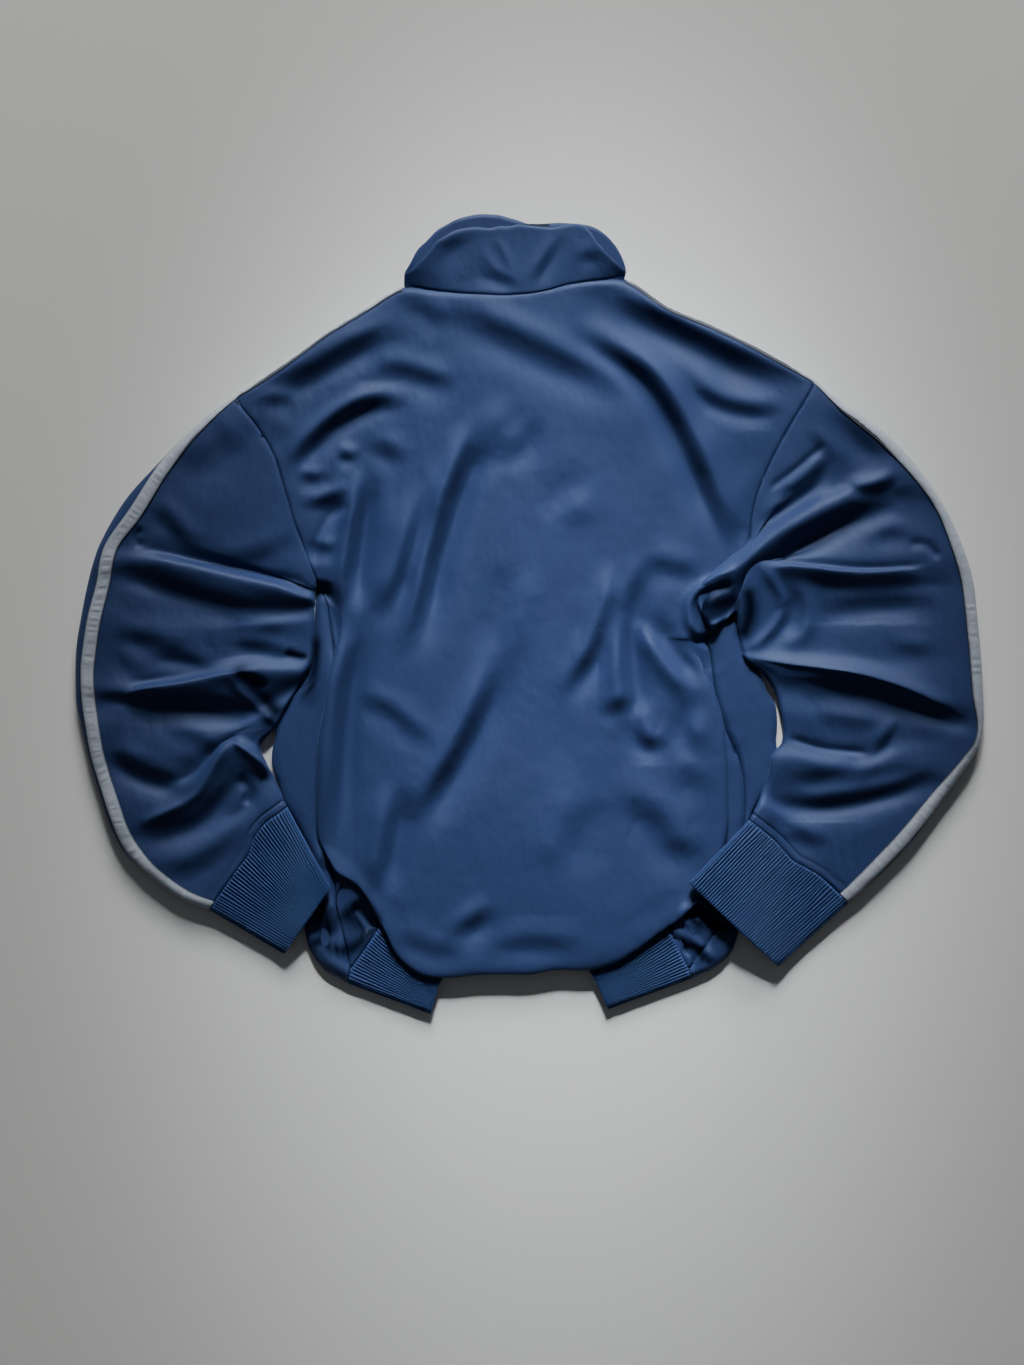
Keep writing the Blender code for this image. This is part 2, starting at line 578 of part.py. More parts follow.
def front_side(arm, seam, outer, floor, shoulder, side):
    """Five points a row: in from the armhole and, further down, from the side seam round the edge."""
    rows = []
    ways = side_ways(shoulder, len(arm), side)
    for number, (point, way) in enumerate(zip(arm, ways)):
        at_armpit = number == len(arm) - 1
        steps = ARMPIT_STEPS if at_armpit else SIDE_STEPS
        fall = 1 - smooth_step(steps / (4.5 if at_armpit else 9.0))
        rows.append(np.column_stack([point[:2] + steps[:, None] * way, point[2] * fall]))
    rows[1][:, 2] = arm[1, 2]
    middle = SIDE_Z / 2
    for top, edge, bottom in zip(seam, outer, floor):
        reach = np.linalg.norm(top[:2] - edge)
        near_top = edge + min(0.6 * reach, 2.6) * unit(top[:2] - edge)
        near_floor = edge + 2.4 * unit(bottom - edge)
        rows.append(np.array([
            top,
            [*near_top, middle + 0.8 * (top[2] - middle)],
            [*edge, middle],
            [*near_floor, 0.7],
            [*bottom, 0.0],
        ]))
    return np.array(rows)


def front_hem(start, zip_x, count, side):
    """The front's lower edge, along the seam of the hem band from near the side to the zip."""
    line = dense(HEM_SEAM)[:: -1 if side > 0 else 1]
    kept = line[(line[:, 0] - zip_x) * side > 0]
    nearest = int(np.argmin(np.linalg.norm(kept - start, axis=1)))
    end = np.array([zip_x, kept[-1, 1]])
    route = np.vstack([start, kept[nearest + 2 :], end])
    return at_distance(route, even(0, 1, count - 1) * run_of(route)[-1])


def front_grid(arm, seam, outer_edge, floor_line, shoulder, neck, side):
    outer, floor = (at_share(line, side_shares()) for line in (outer_edge, floor_line))
    edge = front_side(arm, seam, outer, floor, shoulder, side)
    neck_shares = even(0, 1, FRONT_NECK_COLUMNS)[1:]
    neck_z = EDGE_Z + (FRONT_NECK_Z - EDGE_Z) * neck_shares**0.5
    neck_row = np.column_stack([at_share(neck, neck_shares), neck_z])
    top = np.vstack([shoulder_row(shoulder, arm[0]), neck_row])
    edge[0] = top[: PLEAT_COLUMNS + 1]
    inner_top = top[PLEAT_COLUMNS:]
    zip_x = ZIP_X + side * ZIP_HALF_GAP
    hem = front_hem(edge[-1, -1, :2], zip_x, len(inner_top), side)
    shares = (run_of(edge[:, -1]) / run_of(edge[:, -1])[-1])[:, None]
    zip_top = np.array([zip_x, inner_top[-1, 1]])
    zip_line = zip_top + shares * (hem[-1] - zip_top)
    plan = patch(inner_top, hem, edge[:, -1], zip_line)
    z = np.zeros(plan.shape[:2])
    on_neck = np.arange(plan.shape[1]) > SHOULDER_COLUMNS
    for row, neck_share in enumerate((1.0, 0.85, 0.5)):
        shoulder_share = 1 - edge_bend(row * TAPE_WIDTH / 2)[1]
        z[row] = inner_top[:, 2] * np.where(on_neck, neck_share, shoulder_share)
    z[:, 0] = edge[:, -1, 2]
    return np.hstack([edge[:, :-1], np.dstack([plan, z])])


# ---- the collar, the hem band and the tapes ----


def collar_grid(back, left, right):
    """Rows from the neck seam to the top edge; columns from the zip round the back to the zip."""
    neck = PLEAT_COLUMNS + SHOULDER_COLUMNS
    base = np.vstack([
        left[0, : neck : -1], back[0, neck : neck + BACK_NECK_COLUMNS + 1], right[0, neck + 1 :],
    ])
    top = np.array([(row.x, row.y, row.z) for row in COLLAR_TOP], float)
    shares = even(0, 1, COLLAR_ROWS)[:, None, None]
    return base + shares * (top - base)


def band_grid(back, left, right):
    """Rows from the hem seam to the free edge; columns from the zip round the back to the zip."""
    seam = np.vstack([left[-1, :0:-1], back[-1], right[-1, 1:]])
    seam[:, 2] = np.minimum(seam[:, 2], RIB_Z)
    line = dense(HEM_FREE_EDGE)
    zip_share = np.interp(ZIP_X, line[:, 0], run_of(line) / run_of(line)[-1])
    fronts = left.shape[1] - 1
    round_edge = np.array([0.012, 0.0, 0.012])
    left_shares = np.concatenate([round_edge, np.linspace(0.05, zip_share, fronts - 3)])
    right_shares = np.concatenate([1 - round_edge, np.linspace(0.95, zip_share, fronts - 3)])
    shares = np.concatenate([left_shares[::-1], even(0.03, 0.97, back.shape[1] - 1), right_shares])
    rise = np.concatenate([[0.85, 0.5, 0.08], np.zeros(fronts - 3)])
    z = BAND_END_Z * np.concatenate([rise[::-1], np.ones(back.shape[1]), rise])
    free = np.column_stack([at_distance(line, shares * run_of(line)[-1]), z])
    free[0, 0], free[-1, 0] = ZIP_X - ZIP_HALF_GAP, ZIP_X + ZIP_HALF_GAP
    return seam + even(0, 1, BAND_ROWS)[:, None, None] * (free - seam)


def tape_strip(front, back, sleeve):
    """Three points across the tape at each step, from the neck down to the cuff."""
    steps = slice(PLEAT_COLUMNS + SHOULDER_COLUMNS, None, -1)
    shoulder = np.stack([front[1, steps], front[0, steps], back[1, steps]], axis=1)
    return np.vstack([shoulder, sleeve[1:, EDGE_COLUMN - 1 : EDGE_COLUMN + 2]])


# ---- walls ----


def cell_ways(grid, closed):
    """Unit normals of a grid's cells."""
    g = np.concatenate([grid, grid[:, :1]], axis=1) if closed else grid
    return unit(np.cross(g[1:, 1:] - g[:-1, :-1], g[1:, :-1] - g[:-1, 1:]))


def point_ways(pieces):
    """Outward unit normals at every point of every grid, shared where two grids share a point."""
    totals = {}
    for grid, closed, outward in pieces:
        cells = cell_ways(grid, closed) * outward
        rows, columns = grid.shape[:2]
        for (i, j), way in zip(np.ndindex(cells.shape[:2]), cells.reshape(-1, 3)):
            for a, b in ((i, j), (i + 1, j), (i, (j + 1) % columns), (i + 1, (j + 1) % columns)):
                key = tuple(np.round(grid[a, b], 3) + 0.0)
                totals[key] = totals.get(key, 0) + way
    found = []
    for grid, _, _ in pieces:
        flat = [totals[tuple(np.round(point, 3) + 0.0)] for point in grid.reshape(-1, 3)]
        found.append(unit(np.array(flat)).reshape(grid.shape))
    return found


def clearance(points):
    """How far an edge is drawn back from its seam: more beside the corners where seams meet."""
    away = [np.hypot(points[:, 0] - x, points[:, 1] - y) for x, y in SEAM_CORNERS]
    near = np.exp(-((np.min(away, axis=0) / CORNER_REACH) ** 2))
    return (SEAM_GAP / 2 + CORNER_EASE * near)[:, None]


def drawn_back(grid, rows=(), columns=()):
    """The grid with some of its edges drawn back along the cloth, to clear the seam."""
    out = grid.copy()
    for row in rows:
        beside = 1 if row == 0 else row - 1
        out[row] += clearance(grid[row]) * unit(grid[beside] - grid[row])
    for column in columns:
        beside = 1 if column == 0 else column - 1
        out[:, column] += clearance(grid[:, column]) * unit(grid[:, beside] - grid[:, column])
    return out


def wall(name, outer, inner, finish, closed=False):
    """A closed thin wall between two grids of points, with rims along its open edges."""
    rows, columns = outer.shape[:2]
    bm = bmesh.new()
    skins = [[[bm.verts.new(point * MM) for point in row] for row in grid] for grid in (outer, inner)]
    first, second = skins
    across = columns if closed else columns - 1
    for i, j in np.ndindex(rows - 1, across):
        k = (j + 1) % columns
        bm.faces.new((first[i][j], first[i][k], first[i + 1][k], first[i + 1][j]))
        bm.faces.new((second[i][j], second[i + 1][j], second[i + 1][k], second[i][k]))
    for i in (0, rows - 1):
        for j in range(across):
            k = (j + 1) % columns
            bm.faces.new((first[i][j], first[i][k], second[i][k], second[i][j]))
    for j in () if closed else (0, columns - 1):
        for i in range(rows - 1):
            bm.faces.new((first[i][j], first[i + 1][j], second[i + 1][j], second[i][j]))
    bmesh.ops.recalc_face_normals(bm, faces=bm.faces)
    return finished(name, bm, finish)


def finished(name, bm, finish):
    mesh = bpy.data.meshes.new(name)
    bm.to_mesh(mesh)
    bm.free()
    mesh.shade_smooth()
    mesh.materials.append(finish)
    obj = bpy.data.objects.new(name, mesh)
    bpy.context.scene.collection.objects.link(obj)
    obj.parent = bpy.data.objects["track_jacket"]
    return obj


# ---- the zip ----


def zip_stations(collar, front, band):
    """(y, height of the cloth's lower face, wall) at places down the zip."""
    stations = [(*collar[row, 0, 1:], COLLAR_CLOTH) for row in (COLLAR_ROWS, 2, 1, 0)]
    last = len(front) - 1
    stations += [(*front[row, -1, 1:], CLOTH) for row in (1, 2, 3, last // 2, last - 1)]
    stations += [(*band[row, 0, 1:], RIB) for row in (0, BAND_ROWS)]
    return stations


def zip_profile(wall_thick):
    """Outline of the two tapes and the closed chain between them, seen along the zip."""
    half_tape, half_chain = ZIP_TAPE / 2, ZIP_CHAIN / 2
    low = wall_thick + SEAM_GAP + 0.1
    right = (
        (half_chain, ZIP_CHAIN_LOW), (half_chain, low), (half_tape, low), (half_tape, low + 0.6),
        (half_chain, low + 0.6), (half_chain, low + 1.5),
    )
    return [*right, *[(-x, z) for x, z in right[::-1]]]


def make_zip(stations, finish):
    bm = bmesh.new()
    rings = []
    for y, z, thick in stations:
        outline = zip_profile(thick)
        rings.append([bm.verts.new(((ZIP_X + x) * MM, y * MM, (z + up) * MM)) for x, up in outline])
    for a, b in zip(rings, rings[1:]):
        for i in range(len(a)):
            k = (i + 1) % len(a)
            bm.faces.new((a[i], a[k], b[k], b[i]))
    bm.faces.new(rings[0])
    bm.faces.new(rings[-1][::-1])
    bmesh.ops.recalc_face_normals(bm, faces=bm.faces)
    return finished("zip", bm, finish)


def make_slider(collar, finish):
    """The slider's lower plate, closed at the top of the zip: wide at the top, narrow below."""
    y, z = collar[-1, 0, 1:]
    outline = [(x * 0.5 * SLIDER_WIDTH, along * SLIDER_LENGTH) for x, along in SLIDER_OUTLINE]
    bm = bmesh.new()
    layers = [
        [bm.verts.new(((ZIP_X + x) * MM, (y - 2 - along) * MM, (z + level) * MM)) for x, along in outline]
        for level in (-0.4, -0.4 - SLIDER_THICK)
    ]
    for i in range(len(outline)):
        k = (i + 1) % len(outline)
        bm.faces.new((layers[0][i], layers[0][k], layers[1][k], layers[1][i]))
    bm.faces.new(layers[0][::-1])
    bm.faces.new(layers[1])
    bmesh.ops.recalc_face_normals(bm, faces=bm.faces)
    return finished("zip_slider", bm, finish)


# ---- the jacket ----


def jacket_grids():
    """Every panel as a grid of points on its outer face, keyed by name."""
    grids = {}
    sides = (
        ("left", -1, LEFT_SECTIONS, LEFT_ARMHOLE, LEFT_CUFF_SEAM, LEFT_CUFF_END, CUFF_TAPES[0],
         LEFT_SIDE_SEAM, LEFT_OUTER_EDGE, LEFT_FLOOR_LINE, LEFT_SHOULDER, LEFT_FRONT_NECK),
        ("right", 1, RIGHT_SECTIONS, RIGHT_ARMHOLE, RIGHT_CUFF_SEAM, RIGHT_CUFF_END, CUFF_TAPES[1],
         RIGHT_SIDE_SEAM, RIGHT_OUTER_EDGE, RIGHT_FLOOR_LINE, RIGHT_SHOULDER, RIGHT_FRONT_NECK),
    )
    arms, seams = [], []
    for name, side, sections, armhole, cuff_seam, cuff_end, tape, seam, *lines in sides:
        sleeve = sleeve_rings(sections, armhole, cuff_seam, tape, side)
        grids["sleeve_" + name] = sleeve
        grids["cuff_" + name] = cuff_rings(sleeve[-1], cuff_end, tape, side)
        arm = back_armhole(sleeve[0])
        seam_row = side_seam_row(seam, arm[-1])
        under = front_armhole(sleeve[0])
        grids["front_" + name] = front_grid(under, seam_row, *lines, side)
        arms.append(arm)
        seams.append(seam_row)
    left, right = grids["front_left"], grids["front_right"]
    grids["back"] = back_grid(*arms, *seams)
    grids["collar"] = collar_grid(grids["back"], left, right)
    grids["hem_rib"] = band_grid(grids["back"], left, right)
    return grids


# For each panel: whether its columns close into a ring, which way its cells turn, its wall, the
# rows and columns that meet a seam, and its finish.
Panel = namedtuple("Panel", "name closed outward wall rows columns finish")

PANELS = (
    Panel("back", False, -1, CLOTH, (0, -1), (0, -1), "navy"),
    Panel("front_left", False, 1, CLOTH, (0, -1), (0,), "navy"),
    Panel("front_right", False, -1, CLOTH, (0, -1), (0,), "navy"),
    Panel("sleeve_left", True, -1, CLOTH, (0, -1), (), "navy"),
    Panel("sleeve_right", True, 1, CLOTH, (0, -1), (), "navy"),
    Panel("collar", False, 1, COLLAR_CLOTH, (0,), (), "navy"),
    Panel("cuff_left", True, -1, RIB, (0,), (), "rib"),
    Panel("cuff_right", True, 1, RIB, (0,), (), "rib"),
    Panel("hem_rib", False, -1, RIB, (0,), (), "rib"),
)


def make_panels(grids, finishes):
    ways = point_ways([(grids[panel.name], panel.closed, panel.outward) for panel in PANELS])
    normals = {panel.name: way for panel, way in zip(PANELS, ways)}
    for panel in PANELS:
        outer = grids[panel.name]
        rows = [row % len(outer) for row in panel.rows]
        columns = [column % outer.shape[1] for column in panel.columns]
        inner = outer - panel.wall * normals[panel.name]
        skins = [drawn_back(grid, rows, columns) for grid in (outer, inner)]
        wall(panel.name, *skins, finishes[panel.finish], panel.closed)
    return normals


def make_tapes(grids, normals, finish):
    for side in ("left", "right"):
        names = ("front_" + side, "back", "sleeve_" + side)
        from_left = [grids[name] for name in names]
        ways = [normals[name] for name in names]
        if side == "right":
            from_left[1], ways[1] = from_left[1][:, ::-1], ways[1][:, ::-1]
        strip, way = tape_strip(*from_left), tape_strip(*ways)
        last = len(strip) - 1
        strip[0] += TAPE_START * unit(strip[1] - strip[0])
        skins = [strip + lift * way for lift in (SEAM_GAP + TAPE_THICK, SEAM_GAP)]
        wall("tape_" + side, *(drawn_back(skin, (last,)) for skin in skins), finish)


def main():
    clear_scene()
    empty = bpy.data.objects.new("track_jacket", None)
    bpy.context.scene.collection.objects.link(empty)
    finishes = {
        "navy": material("navy_tricot", NAVY, 0.45),
        "rib": material("navy_rib", RIB_NAVY, 0.8),
    }
    grids = jacket_grids()
    normals = make_panels(grids, finishes)
    make_tapes(grids, normals, material("grey_tape", GREY, 0.6))
    stations = zip_stations(grids["collar"], grids["front_left"], grids["hem_rib"])
    make_zip(stations, material("zip_coil", DARK, 0.5))
    make_slider(grids["collar"], material("slider", DARK, 0.35, 0.6))


main()
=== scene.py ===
# %% [markdown]
# # A track jacket laid flat, back side up
#
# The jacket lies on a table with its collar to +Y and its back uppermost. It is cut from a back,
# two fronts, two sleeves and a stand collar in satin tricot, with ribbed cuffs and a ribbed hem
# band, a grey tape along each shoulder and sleeve, and a zip underneath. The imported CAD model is
# the frame: every piece of cloth here takes the place of one CAD solid.

import math
from collections import namedtuple

import bmesh
import bpy
import numpy as np
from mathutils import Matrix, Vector


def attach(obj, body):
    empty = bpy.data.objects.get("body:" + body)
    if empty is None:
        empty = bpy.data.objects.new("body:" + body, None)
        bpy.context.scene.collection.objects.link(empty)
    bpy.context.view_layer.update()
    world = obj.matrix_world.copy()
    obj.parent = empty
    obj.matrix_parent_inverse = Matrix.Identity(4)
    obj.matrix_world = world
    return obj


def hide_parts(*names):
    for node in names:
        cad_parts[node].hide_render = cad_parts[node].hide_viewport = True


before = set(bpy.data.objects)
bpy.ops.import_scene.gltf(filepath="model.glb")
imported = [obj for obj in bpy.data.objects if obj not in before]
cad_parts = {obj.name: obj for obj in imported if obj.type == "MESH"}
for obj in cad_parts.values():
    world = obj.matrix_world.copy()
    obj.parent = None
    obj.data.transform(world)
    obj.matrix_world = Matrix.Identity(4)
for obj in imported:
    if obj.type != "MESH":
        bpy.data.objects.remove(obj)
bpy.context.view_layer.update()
MM = 0.001

# %% [markdown]
# ## The jacket's form in numbers
#
# The form is set by short tables: a row for each section across a sleeve, the seam lines, the
# edges of the layers and the collar's top edge. They are the same tables that the CAD solids come
# from, so the cloth made here lies where the solids are. Sizes are in millimetres.

# %% Sizes
CLOTH = 1.2  # wall of the knitted body cloth
COLLAR_CLOTH = 1.6
RIB = 2.0
TAPE_WIDTH = 12.3
TAPE_THICK = 0.8
SEAM_GAP = 0.3  # clear distance between two sewn pieces
EDGE_RADIUS = 7.2  # round of a tube of cloth that lies flat
EDGE_Z = 6.6  # height of the middle of that round
CROWN_Z = 12.6  # top of the upper layer beside the round
SIDE_Z = 8.2  # top of the side layer under the back's pleats
FOLD_Z = 12.8  # top of the back's folded edges
PLEAT = 12.0  # depth of the pleat under each side of the back
SEAM_TO_BEND = 4.0  # the pleat's inner bend lies at least this far beyond the side seam
RIB_Z = 8.6  # top of the hem band, under the back
ZIP_X = 3.0
ZIP_HALF_GAP = 3.2
FRONT_NECK_Z = 3.0
CUFF_TAPES = (7, 10)  # middle of each tape from the outer edge, at the cuffs
CUFF_END_HEIGHT = 0.88  # the open end of a cuff against its seam
TAPE_START = 2.0  # the tapes start this far below the collar
BAND_END_Z = 8.6
FLAP_TUCK = 10.0
# Heights of the back at the points of the pleat: its two bends, then the two edges of the fold.
PLEAT_HEIGHTS = (SIDE_Z, FOLD_Z - 2.6, FOLD_Z - 2.3, FOLD_Z)
PLEAT_START = 0.4  # rows below the armpit, and how many rows the pleat takes to form
PLEAT_ROWS = 2.6
# Heights of the flap's four rows where it tucks in, and where it is bloused over the band.
TUCKED_HEIGHTS = (FOLD_Z - 2.4, 9.7, 9.2, RIB_Z + SEAM_GAP)
BLOWN_HEIGHTS = (FOLD_Z - 3.2, 9.4, 9.1, RIB_Z + SEAM_GAP)
# Distances in from an armhole of the first five columns, and at the armpit on the front.
SIDE_STEPS = np.array([0.0, 4.0, 8.0, 12.0, 16.0])
ARMPIT_STEPS = np.array([0.0, 0.9, 2.2, 5.0, 14.0])

# Counts of rows and columns.
TOP_COLUMNS = 5  # across a sleeve, between its two rounded edges
UNDER_COLUMNS = 2
SIDE_ROWS = 9  # armpit to the bottom fold
FLAP_ROWS = 4  # round the bottom fold and up to the hem band
SHOULDER_COLUMNS = 4
BACK_NECK_COLUMNS = 8
FRONT_NECK_COLUMNS = 4
PLEAT_COLUMNS = 4
COLLAR_ROWS = 4
CUFF_ROWS = 3
BAND_ROWS = 2
BOW_ROWS = 7  # rows over which a sleeve's underside loses the bow of the armhole
EDGE_COLUMN = 3  # in a sleeve's ring, the column at the shoulder seam
INNER_COLUMN = 6 + TOP_COLUMNS + 2
RING_COLUMNS = INNER_COLUMN + 3 + UNDER_COLUMNS
RIM = TAPE_WIDTH + 0.7  # how far a ring's close columns reach either side of the tape or an edge
FLAP_FROM = 0.77  # share of a side seam above the bottom fold
ROW_GROWTH = 1.25  # power by which the rows of a side grow longer on the way down
print("walls", CLOTH, COLLAR_CLOTH, "and", RIB, "mm")

# %% Sections of the sleeves
# One row per section of a sleeve, from the armhole to the cuff. Each runs across the sleeve from
# its outer edge to its inner edge through three stations; a station's third number is the height
# of the cloth there, so that crests stand at 14 to 20 and hollows at 7 to 10. tape is how far the
# middle of the tape lies from the outer edge, measured over the cloth; bow is how far the
# underside's line is bent up the sleeve.
Section = namedtuple("Section", "name outer a b c inner tape bow", defaults=(0,))


def rows_of(kind, rows):
    """A table of named rows: each plain tuple becomes one row of this kind."""
    return tuple(kind(*row) for row in rows)


LEFT_SECTIONS = rows_of(Section, (
    ("cap", (-287, 172), (-270, 141, 13), (-246, 106, 13.5), (-217, 62, 13), (-187, 26), 5),
    ("cap low", (-325, 136), (-298, 110, 14), (-268, 79, 13), (-228, 53, 12.5), (-187, 24), 11),
    ("over fold 1", (-360, 96), (-329, 77, 12.5), (-290, 62, 12), (-241, 44, 10.5), (-188, 22), 19),
    ("fold 1 valley", (-379, 62), (-333, 58, 11), (-290, 48, 9.5), (-237, 36, 9), (-189, 19), 16),
    ("fold 1 crest", (-384, 48), (-333, 48, 15), (-285, 37, 17), (-235, 26, 18), (-191, 14), 17),
    ("fold 1 hollow", (-389, 29), (-347, 31, 10), (-298, 18, 8.5), (-246, 4, 8.5), (-193, 7), 19),
    ("plain", (-395, -1), (-351, -6, 13), (-298, -13, 12.5), (-246, -13, 12), (-193, -6), 17),
    ("soft dip", (-399, -26), (-351, -29, 11.5), (-298, -35, 10), (-241, -31, 10), (-193, -23), 17),
    ("over fold 2", (-400, -45), (-360, -54, 12), (-307, -50, 11), (-259, -40, 12), (-194, -37), 16),
    ("fold 2 crest", (-400, -61), (-356, -66, 14), (-307, -61, 17), (-259, -50, 19), (-196, -49), 16),
    ("fold 2 hollow", (-399, -80), (-356, -78, 8.5), (-307, -82, 7.5), (-254, -84, 7.5), (-203, -63), 16),
    ("under fold 2", (-395, -98), (-356, -99, 12.5), (-307, -103, 13), (-259, -99, 13), (-212, -79), 15),
    ("swell", (-389, -123), (-353, -117, 12), (-307, -123, 14), (-260, -104, 13), (-222, -98), 13),
    ("dip", (-381, -150), (-353, -136, 10), (-305, -143, 9), (-265, -110, 12), (-236, -113), 13),
    ("fold 4 crest", (-370, -185), (-342, -180, 13), (-297, -154, 16), (-263, -119, 17), (-231, -131), 14),
    ("fold 4 hollow", (-358, -207), (-333, -194, 10), (-290, -173, 8.5), (-253, -150, 9), (-225, -142), 12),
    ("cuff swell", (-334, -231), (-307, -212, 13), (-274, -194, 12.5), (-244, -172, 12), (-220, -153), 9),
    ("cuff flat", (-305, -251), (-285, -227, 12), (-259, -201, 12), (-235, -176, 12), (-216, -162), 8),
))

RIGHT_SECTIONS = rows_of(Section, (
    ("cap", (275, 187), (249, 154, 14), (216, 101, 13), (184, 35, 11.5), (160, -16), 4),
    ("pipe valley", (320, 154), (278, 119, 11), (216, 82, 11), (145, 17, 15), (162, -15), 8),
    ("pipe crest", (340, 132), (288, 112, 16), (219, 70, 19), (153, 13, 21), (165, -12), 8, 8),
    ("pipe hollow", (366, 94), (318, 101, 9), (246, 64, 9), (191, 26, 9), (171, -6), 8, 17),
    ("long fold crest", (385, 52), (344, 46, 14), (265, 42, 16), (201, 43, 17), (183, 3), 9),
    ("long fold hollow", (391, 31), (340, 24, 9.5), (272, 20, 9), (216, 15, 12), (185, -10), 9),
    ("plain", (395, -4), (344, -9, 13), (282, -13, 12), (230, -15, 10), (186, -22), 9),
    ("fan", (398, -35), (344, -40, 14), (282, -35, 13), (230, -31, 12), (187, -31), 9),
    ("low fold crest", (400, -75), (357, -70, 16), (291, -50, 17), (238, -47, 16), (191, -40), 8),
    ("low fold lip", (400, -89), (366, -82, 12), (297, -57, 13), (238, -54, 13), (205, -51), 5),
    ("low fold hollow", (399, -99), (357, -88, 8), (297, -68, 8), (247, -64, 8), (216, -66), 3),
    ("under low fold", (397, -112), (348, -99, 12), (297, -94, 12), (256, -88, 11), (221, -85), 3),
    ("tuck valley", (391, -124), (340, -112, 12), (298, -121, 9.5), (260, -117, 9.5), (224, -107), 5),
    ("tuck crest", (379, -143), (331, -128, 13.5), (282, -138, 15), (247, -129, 15), (217, -125), 8),
    ("tuck hollow", (365, -163), (331, -145, 10), (282, -158, 9), (244, -163, 8.5), (207, -150), 10),
    ("cuff swell", (331, -207), (309, -189, 13), (274, -194, 12.5), (234, -185, 12), (201, -166), 12.5),
    ("cuff flat", (307, -231), (282, -217, 12), (252, -209, 12), (225, -196, 11.5), (197, -173), 12),
))
print(len(LEFT_SECTIONS), "and", len(RIGHT_SECTIONS), "sleeve sections")

# %% Seams of the sleeves, the shoulders and the neck
# Armhole seams from the shoulder to the armpit; the third number is the height of the cloth.
LEFT_ARMHOLE = (
    (-260, 192, 12.6), (-244, 171, 12.6), (-231, 154, 13), (-222, 134, 13), (-208, 86, 13),
    (-200, 64, 12.6), (-186, 28, 12.6),
)
RIGHT_ARMHOLE = (
    (252, 206, 12.6), (243, 187, 12.6), (228, 164, 13), (216, 143, 13), (198, 97, 12.6),
    (194, 65, 12), (180, 22, 10.5), (158, -18, 10),
)
LEFT_CUFF_SEAM = ((-282, -260), (-259, -227), (-246, -209), (-238, -189), (-213, -169))
RIGHT_CUFF_SEAM = ((282, -254), (256, -230), (231, -215), (218, -200), (193, -180))
LEFT_CUFF_END = ((-216, -299), (-195, -269), (-174, -239))
RIGHT_CUFF_END = ((220, -310), (180, -273), (140, -235))

LEFT_SHOULDER = ((-260, 192), (-219, 218), (-177, 249), (-135, 275), (-110, 289))
RIGHT_SHOULDER = ((252, 206), (222, 224), (166, 252), (137, 265), (105, 279), (84, 296))
BACK_NECK = (
    (-110, 289), (-84, 286), (-53, 283), (-21, 282), (3, 283), (26, 289), (49, 294), (84, 296),
)
LEFT_FRONT_NECK = ((-110, 289), (-92, 282), (-61, 276), (-30, 273), (-0.2, 272))
RIGHT_FRONT_NECK = ((84, 296), (71, 289), (49, 281), (27, 275), (6.2, 272))
print(len(LEFT_ARMHOLE), "and", len(RIGHT_ARMHOLE), "points along the armholes")

# %% Sides and hem
# Side seams, from the armpit to the hem band; the folded edges of the back that hide or border
# them; and the outer edges of the side layers.
LEFT_SIDE_SEAM = (
    (-186, 28), (-180, 17), (-174, -15), (-169, -75), (-175, -140), (-175, -207), (-168, -260),
    (-157, -312),
)
RIGHT_SIDE_SEAM = (
    (158, -18), (160, -33), (165, -72), (175, -106), (188, -136), (190, -175), (184, -225),
    (170, -268), (141, -312),
)
LEFT_PLEAT_EDGE = (
    (-172, 4), (-174, -20), (-177, -46), (-179, -73), (-185, -101), (-187, -132), (-187, -178),
    (-183, -207), (-171, -226),
)
RIGHT_PLEAT_EDGE = (
    (145, -12), (155, -30), (160, -45), (165, -72), (172, -99), (174, -120), (175, -154),
    (174, -195), (165, -225), (150, -248),
)
LEFT_OUTER_EDGE = (
    (-186, 28), (-186, 0), (-188, -31), (-192, -57), (-203, -74), (-216, -101), (-221, -128),
    (-212, -157), (-198, -189), (-187, -211), (-188, -233), (-196, -264), (-197, -282),
    (-186, -308), (-160, -325),
)
RIGHT_OUTER_EDGE = (
    (158, -18), (164, -18), (172, -12.5), (179, -8), (183, -15), (184, -24), (185, -38),
    (194, -51), (209, -65), (215, -90), (213, -118), (201, -152), (193, -189), (189, -224),
    (187, -255), (184, -282), (172, -306), (143, -321),
)
# Where the fronts come down to the table inside those edges.
LEFT_FLOOR_LINE = (
    (-172, 26), (-173, 0), (-175, -31), (-180, -57), (-191, -78), (-203, -103), (-208, -128),
    (-199, -155), (-185, -187), (-174, -210), (-175, -233), (-183, -262), (-184, -280),
    (-175, -298), (-157, -311),
)
RIGHT_FLOOR_LINE = (
    (147, -20), (158, -28), (166, -37), (173, -48), (189, -62), (199, -78), (202, -95), (199, -118),
    (188, -150), (180, -187), (176, -224), (174, -255), (171, -279), (162, -297), (141, -310),
)
BOTTOM_FOLD = (
    (-171, -226), (-157, -232), (-137, -259), (-119, -294), (-105, -311), (-81, -319), (-39, -316),
    (1, -316), (34, -311), (56, -312), (83, -302), (115, -280), (136, -265), (150, -248),
)
HEM_SEAM = (
    (-157, -312), (-147, -295), (-133, -273), (-114, -255), (-87, -245), (-61, -240), (3, -236),
    (62, -240), (91, -245), (111, -255), (124, -273), (133, -295), (141, -312),
)
HEM_FREE_EDGE = (
    (-87, -352), (-76, -320), (-56, -311), (-26, -306), (1, -305), (27, -307), (45, -310),
    (56, -318), (70, -348),
)
print(len(LEFT_OUTER_EDGE), "and", len(RIGHT_OUTER_EDGE), "points along the outer edges")

# %% Broad folds of the back
# The largest creases of the back: a line from start through middle to end, the half width of the
# crease, and how far the cloth rises (or, below zero, sinks) along it.
Fold = namedtuple("Fold", "name start middle end width rise")

